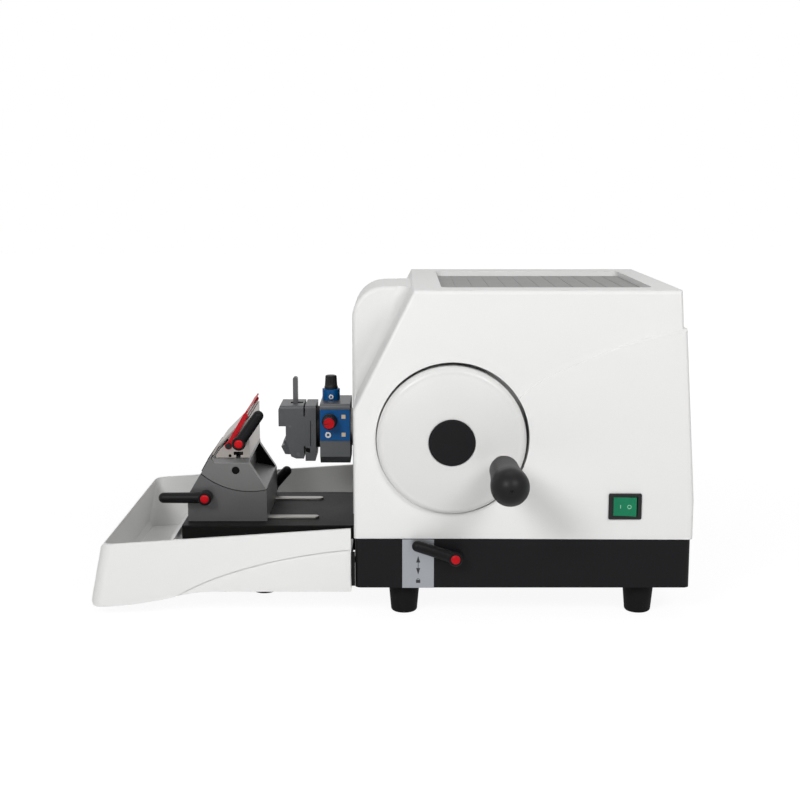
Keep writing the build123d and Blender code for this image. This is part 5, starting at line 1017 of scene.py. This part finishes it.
@dataclass
class SpecimenHead:
    """Orientable head on the arm, its knobs and its blue plates; the screw faces are in millimetres."""

    side_seat: Point = (-63.5 * MM, 9.2 * MM, 174.6 * MM)
    side: Knob = Knob(radius=7.2 * MM, skirt=0.8 * MM, length=15.0 * MM, stem=8.0 * MM, cup=5.7 * MM)
    top_seat: Point = (-63.5 * MM, 43.0 * MM, 204.1 * MM)
    top: Knob = Knob(radius=6.6 * MM, skirt=0.6 * MM, length=14.0 * MM, stem=17.8 * MM)
    pointer_from: float = -5.0 * MM
    pointer_to: float = -0.4 * MM
    pointer_half: float = 0.45 * MM
    pointer_ink: float = 0.1 * MM
    pointer_out: float = 15.6 * MM
    pointer_turn: float = 12.0
    screw_left: float = -51.2
    screw_right: float = -47.0
    screw_half: float = 2.1
    upper_screw_z: float = 179.2
    lower_screw_z: float = 160.2
    screw_back_y: float = 8.72
    screw_depth: float = 0.12

    def pointer(self) -> bmesh.types.BMesh:
        """Dark line on the red cap that shows how far the side knob is turned.

        Returns:
            The mesh, in place.
        """
        line = slab(
            rectangle(self.pointer_from, self.pointer_to, -self.pointer_half, self.pointer_half),
            self.pointer_ink,
        )
        x, y, z = self.side_seat
        turn = Matrix.Rotation(math.radians(self.pointer_turn), 4, "Z")
        return moved(line, facing_operator(x, y - self.pointer_out, z) @ turn)

    def build(self, shop: Workshop) -> None:
        """Dress the head.

        Args:
            shop: the workshop.
        """
        side = moved(self.side.mesh(), facing_operator(*self.side_seat))
        shop.piece("side_knob.ribbed", side, "side_adjuster", KNOB_BLACK, Smooth.RIBBED, ["side_knob"])
        top = moved(self.top.mesh(), Matrix.Translation(self.top_seat))
        shop.piece("top_knob.ribbed", top, "top_adjuster", KNOB_BLACK, Smooth.RIBBED, ["top_knob"])
        shop.piece("side_knob_pointer", self.pointer(), "side_adjuster", KNOB_BLACK)
        shop.carry("specimen_arm", RAIL_STEEL)
        shop.carry("head_block", HEAD_GREY, Edge.BROKEN)
        shop.carry("head_side_plate", PLATE_BLUE, Edge.FINE)
        shop.carry("head_top_collar", PLATE_BLUE, Edge.FINE)
        shop.carry("head_screws", SCREW_CHROME, Edge.FINE)
        shop.carry("side_knob_cap", BUTTON_RED, Edge.FINE)
        heights = {"plate_screw_upper": self.upper_screw_z, "plate_screw_lower": self.lower_screw_z}
        for name, z in heights.items():
            face = rectangle(self.screw_left, self.screw_right, z - self.screw_half, z + self.screw_half)
            shop.piece(name, patch(face, self.screw_back_y, self.screw_depth), "arm", SCREW_BEIGE)


@dataclass
class CassetteClamp:
    """Clamp on the front of the head; its small parts are in millimetres."""

    pin_centre: Point = (-97.5, 19.1, 137.1)
    pin_radius: float = 2.3
    pin_depth: float = 0.5
    peg_centre: Point = (-105.9, 19.3, 166.7)
    peg_radius: float = 1.3
    peg_depth: float = 0.4
    # Black sheet at the mouth of the cut in the clamp: painted shade inside the cut.
    cut_shade_outline: tuple[Flat, ...] = ((-89.9, 144.3), (-89.9, 139.9), (-84.9, 138.6), (-84.9, 143.3))
    cut_shade_back_y: float = 19.52
    cut_shade_depth: float = 0.08

    def build(self, shop: Workshop) -> None:
        """Dress the clamp.

        Args:
            shop: the workshop.
        """
        shop.carry("clamp_flange", BASE_BLACK)
        shop.carry("clamp_back_plate", CLAMP_GREY, Edge.BROKEN)
        shop.carry("clamp_body", CLAMP_GREY, Edge.BROKEN)
        shop.carry("clamp_jaw", CLAMP_GREY, Edge.FINE)
        shop.carry("clamp_lever", DARK_STEEL, Edge.SOFT)
        pin = disc(self.pin_centre, self.pin_radius, self.pin_depth)
        shop.piece("clamp_pin_head", pin, "clamp", HEAD_GREY)
        shop.piece("clamp_peg", disc(self.peg_centre, self.peg_radius, self.peg_depth), "clamp", HEAD_GREY)
        # Painted shade: a black sheet over the mouth of the cut.
        cut_shade = patch(self.cut_shade_outline, self.cut_shade_back_y, self.cut_shade_depth)
        shop.piece("clamp_notch_shade", cut_shade, "clamp", SHADE_AND_PLUG_BLACK)


@dataclass
class BladeHolder:
    """Foot, tilting segment, carrier, blade and guard on the tongue, with a black sheet of painted shade in
    the segment's pocket; the trim is in millimetres.
    """

    plug_centre: Point = (-159.7, -15.6, 127.3)
    plug_radius: float = 3.85
    grub_centre: Point = (-165.9, -9.8, 141.5)
    grub_radius: float = 1.5
    plug_depth: float = 1.0
    # Black sheet on the far cheek's inner face: painted shade in the segment's pocket.
    pocket_shade_outline: tuple[Flat, ...] = (
        (-149.9, 112.2), (-130.0, 108.2), (-128.6, 108.2), (-145.9, 134.3), (-149.9, 135.0),
    )
    pocket_shade_back_y: float = 92.98
    pocket_shade_thickness: float = 0.1
    deflector_outline: tuple[Flat, ...] = (
        (-186.75, 140.3), (-187.6, 140.75), (-196.0, 125.7), (-195.2, 125.2),
    )
    deflector_back_y: float = 96.0
    deflector_width: float = 106.0

    def build(self, shop: Workshop) -> None:
        """Dress the holder.

        Args:
            shop: the workshop.
        """
        shop.carry("holder_base", HOLDER_GREY, Edge.BROKEN)
        shop.carry("tilt_segment", SEGMENT_GREY, Edge.BROKEN)
        shop.carry("blade_carrier", CARRIER_STEEL, Edge.FINE)
        shop.carry("blade", BRIGHT_STEEL)
        shop.carry("pressure_plate", CARRIER_STEEL, Edge.FINE)
        shop.carry("blade_guard", GUARD_RED, Edge.BROKEN)
        shop.carry("guard_pins", KNOB_BLACK, Edge.FINE)
        plug = disc(self.plug_centre, self.plug_radius, self.plug_depth)
        shop.piece("segment_plug", plug, "segment", SHADE_AND_PLUG_BLACK)
        grub = disc(self.grub_centre, self.grub_radius, self.plug_depth)
        shop.piece("carrier_grub", grub, "carrier", SHADE_AND_PLUG_BLACK)
        # Painted shade: a thin black sheet on the far cheek inside the pocket.
        pocket_shade = patch(self.pocket_shade_outline, self.pocket_shade_back_y, self.pocket_shade_thickness)
        shop.piece("segment_pocket_shade", pocket_shade, "segment", SHADE_AND_PLUG_BLACK)
        deflector = patch(self.deflector_outline, self.deflector_back_y, self.deflector_width)
        shop.piece("segment_deflector", deflector, "segment", LEVER_BLACK)


@dataclass
class Tray:
    """White waste tray around the tongue."""

    def build(self, shop: Workshop) -> None:
        """Dress the tray."""
        shop.carry("waste_tray", TRAY_WHITE, Edge.NONE, Smooth.SHELL)


@dataclass
class Electrics:
    """Mains switch and inlet."""

    rocker: Point = (227.3 * MM, -107.431 * MM, 112.3 * MM)
    tilt: float = 7.0
    half: float = 10.0 * MM
    crest: float = 3.6 * MM
    valley: float = 2.7 * MM
    mark_share: float = 0.42
    ink: float = 0.08 * MM
    ink_sunk: float = 0.4
    bar_half: float = 0.3 * MM
    bar_reach: float = 1.7 * MM
    ring_radius: float = 2.0 * MM
    ring_hole: float = 1.45 * MM

    def on_face(self, hand: int) -> Matrix:
        """Matrix of the mark's place on one face of the rocker.

        Args:
            hand: -1 for the left face and 1 for the right one.

        Returns:
            The matrix: local Z points out of the face.
        """
        slope = math.atan2(self.crest - self.valley, self.half)
        rise = self.crest * self.mark_share + self.valley * (1.0 - self.mark_share)
        middle = Vector((hand * self.half * self.mark_share, -rise, 0.0))
        turn = Matrix.Translation(self.rocker) @ Matrix.Rotation(math.radians(-self.tilt), 4, "Z")
        face = Matrix.Translation(middle) @ Matrix.Rotation(-hand * slope, 4, "Z")
        return turn @ face @ facing_operator(0.0, self.ink * self.ink_sunk, 0.0)

    def build(self, shop: Workshop) -> None:
        """Dress the switch and the inlet.

        Args:
            shop: the workshop.
        """
        shop.carry("switch_bezel", KNOB_BLACK, Edge.FINE)
        shop.carry("switch_rocker", ROCKER_GREEN, Edge.FINE)
        shop.carry("power_inlet", CAP_BLACK, Edge.FINE)
        bar = slab(rectangle(-self.bar_half, self.bar_half, -self.bar_reach, self.bar_reach), self.ink)
        shop.piece("rocker_mark_on", moved(bar, self.on_face(-1)), "rocker", MARK_PALE)
        loop = ring(self.ring_radius, self.ring_hole, self.ink)
        shop.piece("rocker_mark_off", moved(loop, self.on_face(1)), "rocker", MARK_PALE)


# Studio


@dataclass(frozen=True)
class Lamp:
    """Soft box: where it stands, the point it faces, its width and height, and its power in watts."""

    name: str
    place: Point
    aim: Point
    size: Flat
    power: float

    def build(self) -> None:
        """Hang the lamp."""
        data = bpy.data.lights.new(self.name, "AREA")
        data.shape = "RECTANGLE"
        data.size, data.size_y = self.size
        data.energy = self.power
        made = bpy.data.objects.new(self.name, data)
        made.location = self.place
        made.rotation_euler = (Vector(self.aim) - Vector(self.place)).to_track_quat("-Z", "Y").to_euler()
        bpy.context.scene.collection.objects.link(made)


LAMPS = (
    Lamp("left_box", (-0.66, -1.4, 0.95), (0.05, -0.1, 0.17), (0.5, 0.5), 12.0),
    Lamp("right_box", (0.76, -1.4, 1.1), (0.05, -0.1, 0.17), (0.5, 0.5), 10.4),
    Lamp("top_box", (0.2, 0.2, 2.2), (0.1, 0.0, 0.2), (1.4, 1.4), 7.0),
)


@dataclass
class Studio:
    """Camera, lamps, backdrop and floor."""

    lens: float = 60.75
    sensor: float = 36.0
    eye: Point = (0.0099, -1.378, 0.428)
    pitch: float = 9.46
    ambient: float = 0.20
    floor_half: float = 6.0
    floor_drop: float = 0.0002
    floor_grey: float = 0.88
    floor_glow: float = 1.08
    glow_share: float = 0.86
    fade_from: float = 0.45
    fade_to: float = 1.6
    fade_gain: float = 1.09

    def camera(self) -> None:
        """Camera at the photograph's viewing angle."""
        data = bpy.data.cameras.new("camera")
        data.lens = self.lens
        data.sensor_width = self.sensor
        made = bpy.data.objects.new("camera", data)
        made.location = self.eye
        made.rotation_euler = (math.radians(90.0 - self.pitch), 0.0, 0.0)
        bpy.context.scene.collection.objects.link(made)
        bpy.context.scene.camera = made

    @staticmethod
    def seen(tree: bpy.types.NodeTree) -> bpy.types.NodeSocket:
        """One for a ray from the camera, off a glossy surface or through a clear one, else nought.

        Args:
            tree: the node tree that asks.

        Returns:
            The socket.
        """
        path = tree.nodes.new("ShaderNodeLightPath")
        socket = path.outputs["Is Camera Ray"]
        for name in ("Is Glossy Ray", "Is Transmission Ray"):
            most = tree.nodes.new("ShaderNodeMath")
            most.operation = "MAXIMUM"
            tree.links.new(socket, most.inputs[0])
            tree.links.new(path.outputs[name], most.inputs[1])
            socket = most.outputs[0]
        return socket

    def world(self) -> None:
        """White backdrop that lights the object plainly."""
        made = bpy.data.worlds.new("backdrop")
        bpy.context.scene.world = made
        made.use_nodes = True
        tree = made.node_tree
        tree.nodes.clear()
        glow = tree.nodes.new("ShaderNodeMapRange")
        glow.inputs["To Min"].default_value = self.ambient
        glow.inputs["To Max"].default_value = 1.0
        tree.links.new(self.seen(tree), glow.inputs["Value"])
        ground = tree.nodes.new("ShaderNodeBackground")
        ground.inputs["Color"].default_value = (1.0, 1.0, 1.0, 1.0)
        tree.links.new(glow.outputs[0], ground.inputs["Strength"])
        end = tree.nodes.new("ShaderNodeOutputWorld")
        tree.links.new(ground.outputs[0], end.inputs[0])

    def floor_material(self) -> bpy.types.Material:
        """Matt floor that glows for the camera, and a little more far from the object.

        Returns:
            The material.
        """
        material = bpy.data.materials.new("floor_pale")
        material.use_nodes = True
        tree = material.node_tree
        tree.nodes.clear()
        matt = tree.nodes.new("ShaderNodeBsdfDiffuse")
        matt.inputs[0].default_value = (self.floor_grey, self.floor_grey, self.floor_grey, 1.0)
        spot = tree.nodes.new("ShaderNodeTexCoord")
        reach = tree.nodes.new("ShaderNodeVectorMath")
        reach.operation = "LENGTH"
        tree.links.new(spot.outputs["Object"], reach.inputs[0])
        fade = tree.nodes.new("ShaderNodeMapRange")
        limits = {
            "From Min": self.fade_from, "From Max": self.fade_to, "To Min": 1.0, "To Max": self.fade_gain,
        }
        for key, value in limits.items():
            fade.inputs[key].default_value = value
        tree.links.new(reach.outputs["Value"], fade.inputs["Value"])
        glow = tree.nodes.new("ShaderNodeEmission")
        glow.inputs["Strength"].default_value = self.floor_glow
        tree.links.new(fade.outputs[0], glow.inputs["Color"])
        share = tree.nodes.new("ShaderNodeMath")
        share.operation = "MULTIPLY"
        share.inputs[1].default_value = self.glow_share
        tree.links.new(self.seen(tree), share.inputs[0])
        mix = tree.nodes.new("ShaderNodeMixShader")
        tree.links.new(share.outputs[0], mix.inputs[0])
        tree.links.new(matt.outputs[0], mix.inputs[1])
        tree.links.new(glow.outputs[0], mix.inputs[2])
        end = tree.nodes.new("ShaderNodeOutputMaterial")
        tree.links.new(mix.outputs[0], end.inputs[0])
        return material

    def floor(self) -> None:
        """Pale floor that keeps a soft shadow and fades into the backdrop."""
        mesh = bmesh.new()
        bmesh.ops.create_grid(mesh, x_segments=2, y_segments=2, size=self.floor_half)
        bmesh.ops.translate(mesh, verts=mesh.verts[:], vec=(0.0, 0.0, -self.floor_drop))
        data = bpy.data.meshes.new("floor")
        mesh.to_mesh(data)
        mesh.free()
        made = bpy.data.objects.new("floor", data)
        bpy.context.scene.collection.objects.link(made)
        data.materials.append(self.floor_material())
        made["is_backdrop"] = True

    def build(self) -> None:
        """Set the scene's camera, world, floor and lamps."""
        bpy.context.scene.view_settings.view_transform = "Standard"
        self.camera()
        self.world()
        self.floor()
        for lamp in LAMPS:
            lamp.build()


def main() -> None:
    """Build every sub-assembly around the frame."""
    logging.basicConfig(level=logging.INFO, format="%(name)s: %(message)s")
    shop = Workshop()
    Studio().build()
    parts = [
        Housing(), Works(), Drive(), Lever("lock_lever", "lock_button"), LockPlate(), SpecimenHead(),
        CassetteClamp(), BladeHolder(), Lever("segment_lever", "segment_button"),
        Lever("pressure_lever", "pressure_button"), Lever("foot_lever"), Tray(), Electrics(),
    ]
    for part in parts:
        part.build(shop)


if __name__ == "__main__":
    main()
